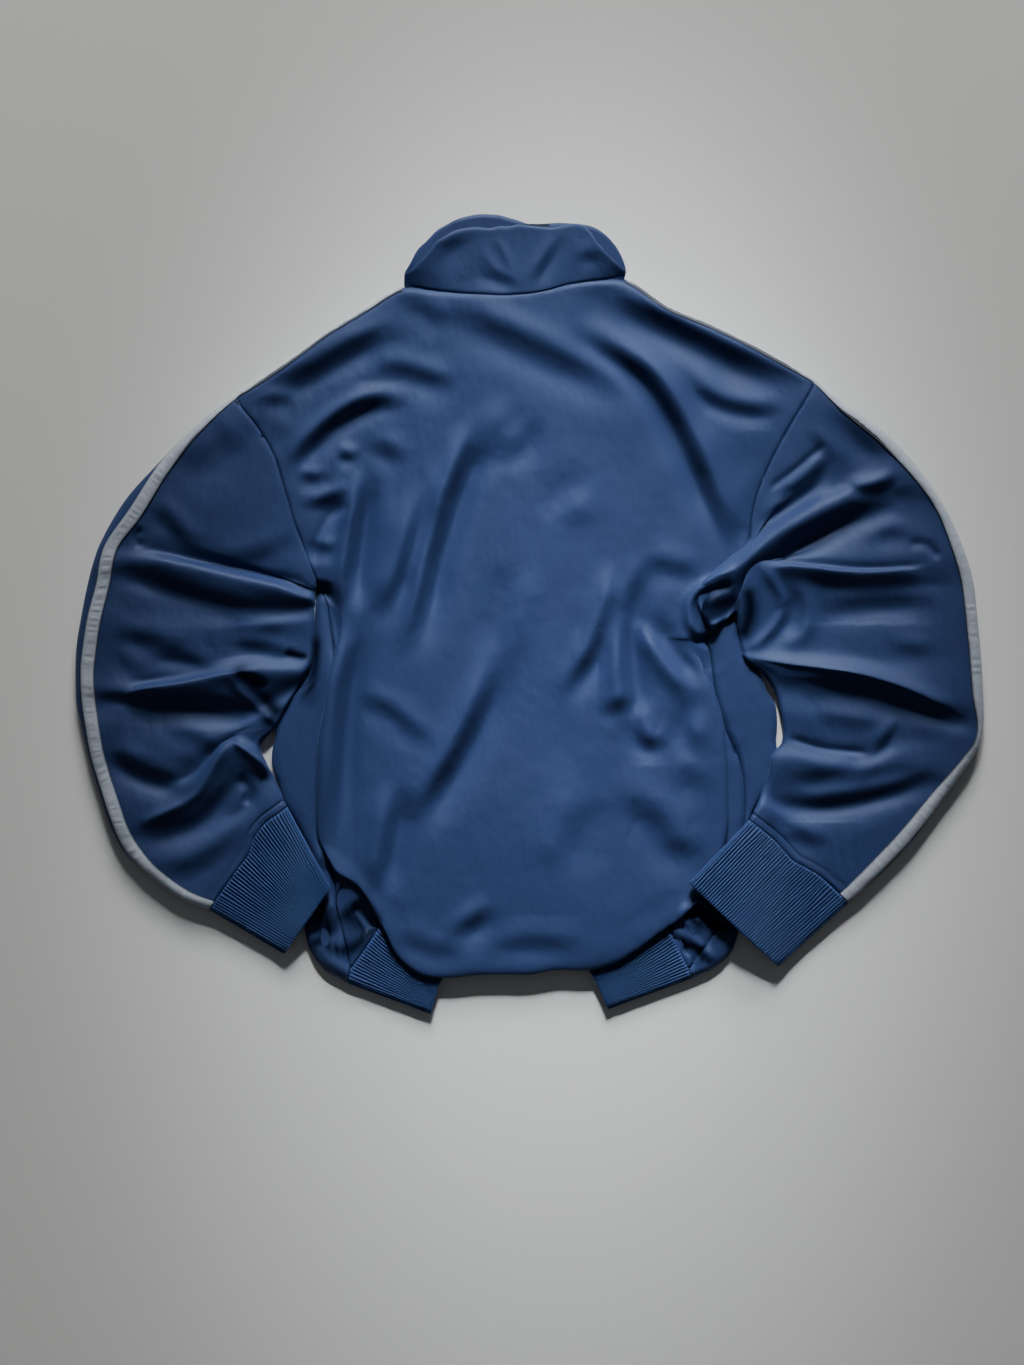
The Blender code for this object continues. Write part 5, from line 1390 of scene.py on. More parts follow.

# %% [markdown]
# ## Painted shade where the cloth is tucked out of the light
#
# In a few places the cloth is tucked in double, deeper than one wall can go. Each row below is a
# line and a half width in millimetres, and the cloth near it gets painted shade, which stands in for
# the shadow deep in the tuck.

# %% Painted shade in the tucks
PaintedShadeLine = namedtuple("PaintedShadeLine", "name line half")
PAINTED_SHADE_LINES = rows_of(PaintedShadeLine, (
    ("armpit loop", ((141.7, 6.2), (164.6, 9.7), (189.2, 15.0)), 11.0),
    ("behind the loop", ((191.0, 29.0), (194.5, 2.6), (185.7, -25.5)), 7.0),
    ("left corner 1", ((-186.6, -250.8), (-182.2, -266.6), (-171.6, -284.2)), 7.0),
    ("left corner 2", ((-168.1, -257.8), (-148.7, -271.9), (-129.4, -280.7)), 9.5),
    ("left corner 3", ((-139.9, -277.2), (-152.2, -291.3), (-168.1, -296.6)), 6.0),
    ("left corner crescent",
     ((-196.2, -294.8), (-185.7, -287.8), (-176.9, -292.2), (-162.8, -296.6), (-152.2, -293.0)), 4.6),
    ("right corner 1", ((150.5, -244.6), (152.2, -257.8), (154.9, -271.9)), 6.0),
    ("right corner hook", ((141.7, -259.6), (146.1, -270.2), (157.5, -272.8)), 4.2),
    ("right corner 2", ((154.0, -268.4), (164.6, -271.9), (176.9, -279.0)), 6.0),
    ("right corner 3", ((124.1, -280.7), (136.4, -289.5), (148.7, -294.8), (157.5, -308.9)), 4.4),
    ("right corner 4", ((111.8, -287.8), (120.6, -280.7), (129.4, -271.9)), 4.5),
    ("flap pocket", ((-263.1, -43.1), (-245.5, -60.7), (-229.7, -76.6), (-215.6, -94.2)), 8.0),
    ("inner pocket", ((-215.6, -32.6), (-204.2, -35.2), (-192.7, -37.0)), 3.2),
    ("side hollow", ((-186.6, -11.4), (-188.3, -43.1), (-196.2, -85.4)), 4.5),
))


def painted_shade_share(grid):
    """How much painted shade each point gets, from 0 to 1; cloth on the table side gets none."""
    share = np.zeros(grid.shape[:2])
    for tuck in PAINTED_SHADE_LINES:
        row = Crease(tuck.name, tuck.line, 1.0, tuck.half, tuck.half)
        share = np.maximum(share, crease_amount(grid[..., 0], grid[..., 1], row)[0])
    return share * smooth_step((grid[..., 2] - 2.0) / 2.0)


print(len(PAINTED_SHADE_LINES), "dark tucks")


# %% Closed walls from grids
def skin_faces(count_rows, count_columns, base, closed, turned):
    i, j = np.mgrid[0 : count_rows - 1, 0 : count_columns if closed else count_columns - 1]
    k = (j + 1) % count_columns
    corners = ((i, j), (i, k), (i + 1, k), (i + 1, j))
    quads = base + np.stack([(a * count_columns + b).ravel() for a, b in corners], axis=1)
    return (quads[:, ::-1] if turned else quads).tolist()


def rim_faces(outer_line, inner_line, turned):
    """Polygons between an outer edge and an inner edge that has every second point."""
    faces = []
    for n in range(len(inner_line) - 1):
        face = [*outer_line[2 * n : 2 * n + 3], inner_line[n + 1], inner_line[n]]
        faces.append(face[::-1] if turned else face)
    return faces


def shell(name, outer, inner, outward, closed, finish):
    """A closed thin wall. Its UV map runs over the cloth in metres, columns first."""
    inner = inner[::2, ::2]
    rows, columns = outer.shape[:2]
    in_rows, in_columns = inner.shape[:2]
    base = rows * columns
    turned = outward < 0
    faces = skin_faces(rows, columns, 0, closed, turned)
    faces += skin_faces(in_rows, in_columns, base, closed, not turned)
    around = list(range(columns)) + ([0] if closed else [])
    in_around = list(range(in_columns)) + ([0] if closed else [])
    top = (around, [base + j for j in in_around])
    bottom = (
        [(rows - 1) * columns + j for j in around],
        [base + (in_rows - 1) * in_columns + j for j in in_around],
    )
    faces += rim_faces(*top, not turned) + rim_faces(*bottom, turned)
    if not closed:
        left = ([i * columns for i in range(rows)], [base + i * in_columns for i in range(in_rows)])
        right = ([a + columns - 1 for a in left[0]], [b + in_columns - 1 for b in left[1]])
        faces += rim_faces(*left, turned) + rim_faces(*right, not turned)
    points = np.vstack([outer.reshape(-1, 3), inner.reshape(-1, 3)]) * MM
    mesh = bpy.data.meshes.new(name)
    mesh.from_pydata(points.tolist(), [], faces)
    flat = np.stack([from_edge(outer, 1, 0), from_edge(outer, 0, 0)], axis=-1) * MM
    flat = np.vstack([flat.reshape(-1, 2), flat[::2, ::2].reshape(-1, 2)])
    index = np.empty(len(mesh.loops), np.int32)
    mesh.loops.foreach_get("vertex_index", index)
    layer = mesh.uv_layers.new(name="cloth")
    layer.data.foreach_set("uv", flat[index].ravel().astype(np.float32))
    mesh.shade_smooth()
    mesh.materials.append(finish)
    return placed(name, mesh)


def placed(name, data):
    """A new object in the scene with this mesh, lamp or camera."""
    obj = bpy.data.objects.new(name, data)
    bpy.context.scene.collection.objects.link(obj)
    return obj


def mark_points(mesh, name, values):
    """Gives a shell's outer points a number that its finish can read; the inner points keep 0."""
    full = np.zeros(len(mesh.vertices), np.float32)
    full[: values.size] = values.ravel()
    mesh.attributes.new(name, "FLOAT", "POINT").data.foreach_set("value", full)


def volume_of(obj):
    """Enclosed volume in cubic centimetres, above zero when the faces point outwards."""
    bm = bmesh.new()
    bm.from_mesh(obj.data)
    found = bm.calc_volume(signed=True) * 1e6
    open_edges = sum(not edge.is_manifold for edge in bm.edges)
    bm.free()
    return found, open_edges


def triangles_in(obj):
    return sum(len(polygon.vertices) - 2 for polygon in obj.data.polygons)


print(len(rim_faces(range(5), range(5, 8), False)), "rim faces join 5 outer points to 3 inner ones")

# %% [markdown]
# ## Finishes
#
# The body is a knitted polyester tricot: fine upright wales, a satin sheen and a deep navy that
# turns lighter where it faces the light. The ribs are the same yarn in a matt rib knit. The tape is
# a pale grey woven strip. Each finish is a node tree built by one small class, so that its sums can
# be read as sums. Sheen is a constant of the shader; colour, roughness and the surface relief vary.
# The colour also carries painted shade in the cloth's deepest tucks and between the ribs, and
# painted light and shade on the tape's gathers.

# %% A short way to write node trees
class Value:
    """A socket that can be used in sums: + - * and their reverses make Math nodes."""

    def __init__(self, finish, socket):
        self.finish, self.socket = finish, socket

    def _with(self, operation, first, second):
        return self.finish.maths(operation, first, second)

    def __add__(self, other):
        return self._with("ADD", self, other)

    def __radd__(self, other):
        return self._with("ADD", other, self)

    def __sub__(self, other):
        return self._with("SUBTRACT", self, other)

    def __rsub__(self, other):
        return self._with("SUBTRACT", other, self)

    def __mul__(self, other):
        return self._with("MULTIPLY", self, other)

    def __rmul__(self, other):
        return self._with("MULTIPLY", other, self)


class Finish:
    """A material and the one shader in it."""

    def __init__(self, name, **constants):
        self.material = bpy.data.materials.new(name)
        self.material.use_nodes = True
        self.tree = self.material.node_tree
        self.shader = self.tree.nodes["Principled BSDF"]
        for socket, value in constants.items():
            self.shader.inputs[socket.replace("_", " ")].default_value = value
        where = self.node("ShaderNodeTexCoord")
        self.object = where.outputs["Object"]
        self.cloth = where.outputs["UV"]

    def node(self, kind, settings=None, inputs=None):
        made_node = self.tree.nodes.new(kind)
        for key, value in (settings or {}).items():
            setattr(made_node, key, value)
        for key, value in (inputs or {}).items():
            self.join(value, made_node.inputs[key])
        return made_node

    def join(self, value, socket):
        value = getattr(value, "socket", value)
        if isinstance(value, bpy.types.NodeSocket):
            self.tree.links.new(value, socket)
        else:
            socket.default_value = value

    def maths(self, operation, first, second=0.0):
        sums = self.node("ShaderNodeMath", {"operation": operation}, {0: first, 1: second})
        return Value(self, sums.outputs[0])

    def sine(self, value, pitch):
        """Waves from -1 to 1, one for each pitch."""
        return self.maths("SINE", value * (math.tau / pitch))

    def attribute(self, name):
        """A number kept at each point of the mesh."""
        return Value(self, self.node("ShaderNodeAttribute", {"attribute_name": name}).outputs["Fac"])

    def noise(self, vector, scale, detail=2.0, rough=0.5):
        inputs = {"Vector": vector, "Scale": scale, "Detail": detail, "Roughness": rough}
        return Value(self, self.node("ShaderNodeTexNoise", None, inputs).outputs["Fac"])

    def stretched(self, vector, scale):
        return self.node("ShaderNodeMapping", None, {"Vector": vector, "Scale": scale}).outputs[0]

    def axis(self, vector, which):
        return Value(self, self.node("ShaderNodeSeparateXYZ", None, {0: vector}).outputs[which])

    def mix(self, share, first, second):
        inputs = {"Factor": share, "A": first, "B": second}
        made_node = self.node("ShaderNodeMix", {"data_type": "RGBA"})
        for key, value in inputs.items():
            sockets = [s for s in made_node.inputs if s.name == key and s.enabled]
            self.join(value, sockets[0])
        return next(s for s in made_node.outputs if s.enabled)

    def bump(self, height, distance, strength=1.0, normal=None):
        inputs = {"Height": height, "Distance": distance, "Strength": strength}
        if normal is not None:
            inputs["Normal"] = normal
        return self.node("ShaderNodeBump", None, inputs).outputs[0]

    def feed(self, **inputs):
        for key, value in inputs.items():
            self.join(value, self.shader.inputs[key.replace("_", " ")])
        return self.material

    def with_painted_shade(self, share, colour):
        """Mixes in a dark shader without any shine, as far as share says: painted shade."""
        inputs = {"Base Color": colour, "Roughness": 1.0, "Specular IOR Level": 0.0}
        dark = self.node("ShaderNodeBsdfPrincipled", None, inputs)
        parts = {0: share, 1: self.shader.outputs[0], 2: dark.outputs[0]}
        blend = self.node("ShaderNodeMixShader", None, parts)
        self.join(blend.outputs[0], self.tree.nodes["Material Output"].inputs["Surface"])
        return self.material


# %% Satin tricot
WALE = 0.0011  # spacing of the knit's wales, in metres
COURSE = WALE * 0.8  # spacing of its rows of loops
BLUE_SHEEN = (0.42, 0.6, 1.0, 1)


def tricot():
    f = Finish(
        "navy_tricot_cloth", Sheen_Weight=0.08, Sheen_Roughness=0.5, Sheen_Tint=BLUE_SHEEN,
        Specular_IOR_Level=0.45, Specular_Tint=(0.68, 0.8, 1.0, 1),
    )
    wale = f.sine(f.axis(f.cloth, 0), WALE)
    loops = f.maths("SINE", f.axis(f.cloth, 1) * (math.tau / COURSE) + wale * 0.8)
    slow = f.noise(f.object, 9.0, 3.0)
    uneven = f.noise(f.stretched(f.object, (1.0, 0.6, 1.0)), 46.0, 4.0, 0.55)
    fibre = f.noise(f.object, 900.0, 2.0)
    tone = slow * 0.7 + uneven * 0.3
    colour = f.mix(tone, (0.0135, 0.0272, 0.093, 1), (0.0185, 0.0362, 0.120, 1))
    roughness = uneven * 0.10 + fibre * 0.08 + 0.50
    small = f.bump(wale * 0.5 + loops * 0.3 + fibre * 0.4, 0.00004, 0.55)
    crumple = f.noise(f.stretched(f.object, (1.0, 0.7, 1.0)), 24.0, 3.0, 0.6)
    normal = f.bump(crumple * 0.75 + uneven * 0.25, 0.006, 0.45, small)
    lines = f.node("ShaderNodeTexNoise", {"noise_type": "RIDGED_MULTIFRACTAL"}, {
        "Vector": f.stretched(f.object, (1.0, 0.75, 1.0)),
        "Scale": 11.0, "Detail": 5.0, "Roughness": 0.55,
    }).outputs["Fac"]
    normal = f.bump(lines, 0.0035, 0.35, normal)
    f.feed(Base_Color=colour, Roughness=roughness, Normal=normal)
    # Painted shade: a dark shader without shine is mixed in where the tucked attribute says, standing in
    # for the shadow deep in the tucks.
    return f.with_painted_shade(f.attribute("tucked") * 0.96, (0.0015, 0.0030, 0.0095, 1))


CLOTH_FINISH = tricot()
print(len(CLOTH_FINISH.node_tree.nodes), "nodes in the tricot")


# %% Rib knit and woven tape
def rib_knit():
    f = Finish(
        "navy_rib_knit", Sheen_Weight=0.12, Sheen_Roughness=0.5, Sheen_Tint=BLUE_SHEEN,
        Specular_IOR_Level=0.3,
    )
    loops = f.sine(f.axis(f.cloth, 1), WALE)
    fibre = f.noise(f.object, 1100.0, 3.0)
    slow = f.noise(f.object, 14.0, 2.0)
    colour = f.mix(slow * 0.6 + fibre * 0.4, (0.0175, 0.0480, 0.165, 1), (0.0240, 0.0620, 0.210, 1))
    # Painted shade: the valleys between the ribs are darkened, as deep as the rib depth attribute says.
    colour = f.mix(f.attribute("rib_depth") * 0.95, colour, (0.0008, 0.0022, 0.008, 1))
    normal = f.bump(loops * 0.5 + fibre, 0.00009, 0.6)
    return f.feed(Base_Color=colour, Roughness=fibre * 0.12 + 0.66, Normal=normal)


def woven_tape():
    f = Finish("grey_woven_tape", Sheen_Weight=0.15, Sheen_Roughness=0.4, Specular_IOR_Level=0.4)
    warp, weft = f.sine(f.axis(f.cloth, 0), 0.0009), f.sine(f.axis(f.cloth, 1), 0.0007)
    fibre = f.noise(f.object, 1000.0, 3.0)
    slow = f.noise(f.object, 60.0, 3.0)
    # Painted light and shade of the tape's gathers: noise drawn out across the tape makes short light and
    # dark bands along it; slow and fibre are the tape's own uneven tone.
    painted_gather_shade = f.noise(f.stretched(f.cloth, (90.0, 520.0, 1.0)), 1.0, 2.0)
    tone = painted_gather_shade * 0.6 + slow * 0.2 + fibre * 0.2
    colour = f.mix(tone, (0.20, 0.235, 0.30, 1), (0.52, 0.57, 0.66, 1))
    sides = f.maths("ABSOLUTE", f.axis(f.cloth, 0) * (2 / (TAPE_WIDTH * MM)) - 1.0)
    colour = f.mix(f.maths("POWER", sides, 9.0) * 0.9, colour, (0.030, 0.038, 0.055, 1))
    normal = f.bump(warp * weft * 0.5 + fibre, 0.00006, 0.6)
    return f.feed(Base_Color=colour, Roughness=fibre * 0.15 + 0.5, Normal=normal)


RIB_FINISH, TAPE_FINISH = rib_knit(), woven_tape()
print(RIB_FINISH.name, "and", TAPE_FINISH.name)


# %% Thread, zip, slider and floor
def thread_finish(name, dark, light):
    f = Finish(name, Specular_IOR_Level=0.4)
    twist = f.noise(f.object, 2600.0, 2.0)
    return f.feed(Base_Color=f.mix(twist, dark, light), Roughness=twist * 0.2 + 0.5)


def nylon(name, dark, light, weave):
    f = Finish(name, Specular_IOR_Level=0.5)
    threads = f.sine(f.axis(f.object, 1), weave) * f.sine(f.axis(f.object, 0), weave)
    fibre = f.noise(f.object, 1200.0, 3.0)
    normal = f.bump(threads * 0.5 + fibre * 0.5, 0.00006, 0.7)
    return f.feed(Base_Color=f.mix(fibre, dark, light), Roughness=fibre * 0.2 + 0.45, Normal=normal)


def painted_metal():
    f = Finish("slider_painted_metal", Specular_IOR_Level=0.5)
    worn = f.noise(f.object, 700.0, 4.0, 0.6)
    metal = f.maths("MULTIPLY_ADD", worn, 0.35)
    return f.feed(
        Base_Color=f.mix(worn, (0.010, 0.014, 0.028, 1), (0.05, 0.055, 0.07, 1)),
        Roughness=worn * 0.25 + 0.25,
        Metallic=metal,
        Normal=f.bump(worn, 0.00004, 0.5),
    )


def paper_floor():
    f = Finish("pale_floor", Specular_IOR_Level=0.2)
    grain = f.noise(f.object, 260.0, 3.0)
    colour = f.mix(grain, (0.84, 0.84, 0.83, 1), (0.87, 0.87, 0.86, 1))
    return f.feed(Base_Color=colour, Roughness=grain * 0.1 + 0.75)


THREAD_NAVY = thread_finish("navy_thread", (0.010, 0.020, 0.050, 1), (0.020, 0.038, 0.090, 1))
THREAD_GREY = thread_finish("grey_thread", (0.26, 0.28, 0.32, 1), (0.36, 0.38, 0.42, 1))
ZIP_FINISH = nylon("navy_coil", (0.010, 0.014, 0.03, 1), (0.02, 0.026, 0.05, 1), 0.0010)
ZIP_TAPE_FINISH = nylon("navy_zip_tape", (0.011, 0.02, 0.05, 1), (0.018, 0.03, 0.07, 1), 0.0008)
METAL_FINISH, FLOOR_FINISH = painted_metal(), paper_floor()
print(len(bpy.data.materials), "finishes, with those of the CAD solids")

# %% Make the panels
INNER_LOWEST = 0.35  # the inner face of a wall stays this far above the table
made, skin_ways = {}, {}
for panel in PANELS:
    name, grid = panel.name, fine[panel.name]
    ways = ways_of(grid, panel.outward, panel.closed)
    relief = rib_relief(name, grid) if name in RIBS else seam_relief(name, grid)
    outer = grid + relief[..., None] * ways
    inner = grid - panel.wall * ways
    for skin, lowest in ((outer, 0.0), (inner, INNER_LOWEST)):
        for row in panel.rows:
            beside = 1 if row == 0 else -2
            skin[row] += SEAM_GAP / 2 * unit(skin[beside] - skin[row])
        for column in panel.columns:
            beside = 1 if column == 0 else -2
            skin[:, column] += SEAM_GAP / 2 * unit(skin[:, beside] - skin[:, column])
        skin[..., 2] = np.maximum(skin[..., 2], lowest)
    fine[name], skin_ways[name] = outer, ways
    finish = RIB_FINISH if name in RIBS else CLOTH_FINISH
    made[name] = shell(name + "_cloth", outer, inner, panel.outward, panel.closed, finish)
    if name in RIBS:
        # How deep each point lies between the ribs, for the painted shade in the rib knit's valleys.
        mark_points(made[name].data, "rib_depth", -relief / RIB_DEPTH)
    else:
        # The painted shade of the deep tucks, read by the tricot's finish.
        mark_points(made[name].data, "tucked", painted_shade_share(outer))
    volume, open_edges = volume_of(made[name])
    triangles = triangles_in(made[name])
    print(name, triangles, "triangles", round(volume, 1), "cm3, open edges", open_edges)

# %% [markdown]
# ## The grey tapes
#
# A tape runs from the collar along the shoulder and down the sleeve to the cuff. It is a narrow
# woven strip, sewn down along both edges, so the middle puckers between the two lines of stitches.
# It is made from the points of the cloth under it, moved out, so that it follows every fold.

# %% Tape strips
TAPE_COLUMNS = 12
TAPE_STEP = 1.0
STITCH_AT = 0.78  # the two lines of stitches, as a share of the tape's half width
STITCH_DIP, DIP_WIDTH = 0.32, 0.09  # how deep the stitches press the tape, in mm, and how wide
TAPE_PUCKER = 0.75  # how high the middle puckers
PUCKER_GAPS = (0.9, 2.3)  # the least and most between two puckers
THIN_FROM = 0.9  # the tape thins to half from here to its edge, as a share of its half width
LINE_PASSES, WAY_PASSES = 6, 10  # how often the cross lines and their normals are evened out


def across_tape(line, ways):
    """TAPE_COLUMNS + 1 even points across a line of points, with their normals."""
    run = run_of(line, 3)
    wanted = np.linspace(0, run[-1], TAPE_COLUMNS + 1)
    return read_at(wanted, run, line), unit(read_at(wanted, run, ways))


def tape_lines(side):
    """The tape's cross lines from the neck to the cuff, from its front edge to its back edge."""
    front, sleeve = "front_" + side, "sleeve_" + side
    lines = []
    front_rows = np.arange(at_row[front][1], -1, -1)
    back_rows = np.arange(1, at_row["back"][1] + 1)
    neck = neck_place(side)
    front_neck = at_column[front][NECK]
    seam = fine["back"][0, : neck + 1] if side == "left" else fine["back"][0, -neck - 1 :]
    for share in np.linspace(1.0, 0.0, int(run_of(seam, 3)[-1])):
        last = fine["back"].shape[1] - 1
        back_place = share * neck if side == "left" else last - share * neck
        points, ways = [], []
        parts = ((front, front_rows, share * front_neck), ("back", back_rows, back_place))
        for name, rows, place in parts:
            low = int(np.floor(place))
            high = min(low + 1, fine[name].shape[1] - 1)
            blend = place - low
            for found, grid in ((points, fine[name]), (ways, skin_ways[name])):
                found.append(grid[rows, low] * (1 - blend) + grid[rows, high] * blend)
        lines.append(across_tape(np.vstack(points), np.vstack(ways)))
    first, last = at_column[sleeve][EDGE_COLUMN - 1], at_column[sleeve][EDGE_COLUMN + 1]
    for row in range(1, len(fine[sleeve])):
        on_row = (row, slice(first, last + 1))
        lines.append(across_tape(fine[sleeve][on_row], skin_ways[sleeve][on_row]))
    return np.array([points for points, _ in lines]), np.array([ways for _, ways in lines])


def smoothed(values, passes):
    """Evens out a row of cross lines along its length, keeping the first and last."""
    for _ in range(passes):
        values[1:-1] = (values[:-2] + 2 * values[1:-1] + values[2:]) / 4
    return values


def tape_surface(side):
    """The tape's under and upper faces, in even steps along it, and its cross lines' normals."""
    points, ways = tape_lines(side)
    points = smoothed(points, LINE_PASSES)
    ways = unit(smoothed(ways, WAY_PASSES))
    run = run_of(points[:, TAPE_COLUMNS // 2], 3)
    count = 2 * int((run[-1] - 2 * SEAM_GAP) / (2 * TAPE_STEP))
    wanted = np.linspace(TAPE_START, run[-1] - SEAM_GAP, count + 1)
    upper = np.searchsorted(run, wanted).clip(1, len(run) - 1)
    blend = ((wanted - run[upper - 1]) / (run[upper] - run[upper - 1]))[:, None, None]
    points = points[upper - 1] * (1 - blend) + points[upper] * blend
    ways = unit(ways[upper - 1] * (1 - blend) + ways[upper] * blend)
    chance = np.random.default_rng(5 if side == "left" else 8)
    knots_at = np.cumsum(chance.uniform(*PUCKER_GAPS, int(wanted[-1])))
    heights = chance.uniform(0, 1, len(knots_at))
    across = np.linspace(-1, 1, TAPE_COLUMNS + 1)
    puckered = np.interp(wanted, knots_at, heights)
    slow = np.interp(wanted, knots_at[::5], chance.uniform(0.5, 1.0, len(knots_at[::5])))
    middle = np.maximum(1 - (np.abs(across) / STITCH_AT) ** 3, 0)
    lift = TAPE_PUCKER * (puckered * slow)[:, None] * middle[None, :]
    lift = lift - STITCH_DIP * np.exp(-(((np.abs(across) - STITCH_AT) / DIP_WIDTH) ** 2))[None, :]
    thick = TAPE_THICK * (1 - 0.5 * np.clip((np.abs(across) - THIN_FROM) / (1 - THIN_FROM), 0, 1))
    top = points + (SEAM_GAP + thick[None, :] + lift)[..., None] * ways
    under = points + SEAM_GAP * ways
    return top, under, ways


TAPE_OUTWARD = {"left": 1, "right": -1}
tape_top, tape_ways = {}, {}
for side in ("left", "right"):
    top, under, ways = tape_surface(side)
    tape_top[side], tape_ways[side] = top, ways
    tape = shell("tape_" + side + "_strip", top, under, TAPE_OUTWARD[side], False, TAPE_FINISH)
    if volume_of(tape)[0] < 0:
        tape.data.flip_normals()
    made["tape_" + side] = tape
    print("tape", side, len(top), "steps", triangles_in(tape), "triangles", volume_of(tape))

# %% [markdown]
# ## Stitches and zip teeth
#
# Stitches follow a line at an even spacing, and so do the teeth of a coil zip. One Geometry Nodes
# tree serves both: it reads a line, sets points along it, puts a small piece at each, makes the
# copies real and gives them their finish. The spacing, the piece and the finish are its inputs, so
# a new line of thread is one call.

# %% The tree that sets pieces along a line
PIECE_SIZES = (0.92, 1.06)  # the smallest and largest piece, as shares of its own size


def along_line_tree():
    tree = bpy.data.node_groups.new("PiecesAlongLine", "GeometryNodeTree")
    inputs = (
        ("Line", "Geometry"), ("Spacing", "Float"), ("Piece", "Object"), ("Finish", "Material"),
        ("Seed", "Int"),
    )
    for name, kind in inputs:
        tree.interface.new_socket(name, in_out="INPUT", socket_type="NodeSocket" + kind)
    tree.interface.new_socket("Pieces", in_out="OUTPUT", socket_type="NodeSocketGeometry")
    new, link = tree.nodes.new, tree.links.new
    given, result = new("NodeGroupInput"), new("NodeGroupOutput")
    curve = new("GeometryNodeMeshToCurve")
    link(given.outputs["Line"], curve.inputs["Mesh"])
    spots = new("GeometryNodeCurveToPoints")
    spots.mode = "LENGTH"
    link(curve.outputs[0], spots.inputs["Curve"])
    link(given.outputs["Spacing"], spots.inputs["Length"])
    source = new("GeometryNodeObjectInfo")
    link(given.outputs["Piece"], source.inputs["Object"])
    chance = new("FunctionNodeRandomValue")
    chance.data_type = "FLOAT"
    chance.inputs[2].default_value, chance.inputs[3].default_value = PIECE_SIZES
    link(given.outputs["Seed"], chance.inputs["Seed"])
    copies = new("GeometryNodeInstanceOnPoints")
    link(spots.outputs["Points"], copies.inputs["Points"])
    link(source.outputs["Geometry"], copies.inputs["Instance"])
    link(spots.outputs["Rotation"], copies.inputs["Rotation"])
    link(chance.outputs[1], copies.inputs["Scale"])
    real = new("GeometryNodeRealizeInstances")
    link(copies.outputs[0], real.inputs[0])
    finish = new("GeometryNodeSetMaterial")
    link(real.outputs[0], finish.inputs["Geometry"])
    link(given.outputs["Finish"], finish.inputs["Material"])
    link(finish.outputs[0], result.inputs["Pieces"])
    return tree


TREE = along_line_tree()
print(len(TREE.nodes), "nodes in the tree")


# %% Short pieces of thread, and pieces along lines
LENS = ((-0.5, 0.25), (-0.28, 0.9), (0.28, 0.9), (0.5, 0.25))  # places along a stitch, and widths
LENS_SIDES = 6


def stitch_piece(name, length, width, height):
    """A short lens of thread lying along Z, six-sided, with pointed ends."""
    bm = bmesh.new()
    rings = []
    for place, size in LENS:
        ring = []
        for angle in math.tau * np.arange(LENS_SIDES) / LENS_SIDES:
            ring.append(bm.verts.new((
                size * width / 2 * math.cos(angle) * MM,
                size * height / 2 * math.sin(angle) * MM,
                place * length * MM,
            )))
        rings.append(ring)
    for a, b in zip(rings, rings[1:]):
        for k in range(LENS_SIDES):
            m = (k + 1) % LENS_SIDES
            bm.faces.new((a[k], a[m], b[m], b[k]))
    bm.faces.new(rings[0][::-1])
    bm.faces.new(rings[-1])
    bmesh.ops.recalc_face_normals(bm, faces=bm.faces)
    mesh = bpy.data.meshes.new(name)
    bm.to_mesh(mesh)
    bm.free()
    mesh.shade_smooth()
    return bpy.data.objects.new(name, mesh)


def pieces_along(name, lines, spacing, piece, finish, seed):
    """Pieces along each line of points (mm), as one plain mesh object."""
    mesh = bpy.data.meshes.new(name + "_line")
    points, edges = [], []
    for line in lines:
        start = len(points)
        points += (np.asarray(line) * MM).tolist()
        edges += [(n, n + 1) for n in range(start, len(points) - 1)]
    mesh.from_pydata(points, edges, [])
    carrier = placed(name + "_line", mesh)
    modifier = carrier.modifiers.new("Pieces", "NODES")
    modifier.node_group = TREE
    given = {"Spacing": spacing * MM, "Piece": piece, "Finish": finish, "Seed": seed}
    for item in TREE.interface.items_tree:
        if item.name in given:
            modifier[item.identifier] = given[item.name]
    carrier.update_tag()
    bpy.context.view_layer.update()
    graph = bpy.context.evaluated_depsgraph_get()
    plain = bpy.data.meshes.new_from_object(carrier.evaluated_get(graph))
    plain.name = name
    bpy.data.objects.remove(carrier)
    print(name, len(plain.polygons), "faces")
    return placed(name, plain)


# %% Lines of stitches
TAPE_THREAD_LIFT, CLOTH_THREAD_LIFT = 0.06, 0.1  # how far the middle of a stitch lies above its cloth


def round_sleeve(name):
    """A closed line round a sleeve, COVER_STITCH from its last row."""
    grid, ways = fine[name], skin_ways[name]
    away = from_edge(grid, 0, -1)
    picked = []
    for j in range(grid.shape[1]):
        order = np.argsort(away[:, j])
        marks = away[order, j]
        point, way = (read_at([COVER_STITCH], marks, part[order, j])[0] for part in (grid, ways))
        picked.append(point + CLOTH_THREAD_LIFT * unit(way))
    return np.array([*picked, picked[0]])


thread = stitch_piece("thread_piece", 2.0, 0.55, 0.5)
tape_thread = stitch_piece("tape_thread_piece", 1.7, 0.42, 0.4)
stitched_at = round((1 - STITCH_AT) / 2 * TAPE_COLUMNS)
made["stitches_tapes"] = pieces_along("stitches_tapes", [
    tape_top[side][1:-1, place] + TAPE_THREAD_LIFT * tape_ways[side][1:-1, place]
    for side in ("left", "right")
    for place in (stitched_at, TAPE_COLUMNS - stitched_at)
], 2.5, tape_thread, THREAD_GREY, 3)
made["stitches_cloth"] = pieces_along("stitches_cloth", [
    round_sleeve("sleeve_left"), round_sleeve("sleeve_right"),
], 2.6, thread, THREAD_NAVY, 4)

# %% [markdown]
# ## The zip
#
# The front of the jacket lies underneath, so the zip shows only from below. Its two woven tapes and
# closed chain keep the shape of the CAD solid; the teeth of the coil are short bars across it.

# %% Zip teeth
TEETH_LIFT = 0.22
TEETH_FROM, TEETH_TO = 16, 2  # the teeth start this far below the collar's edge and end above the hem's


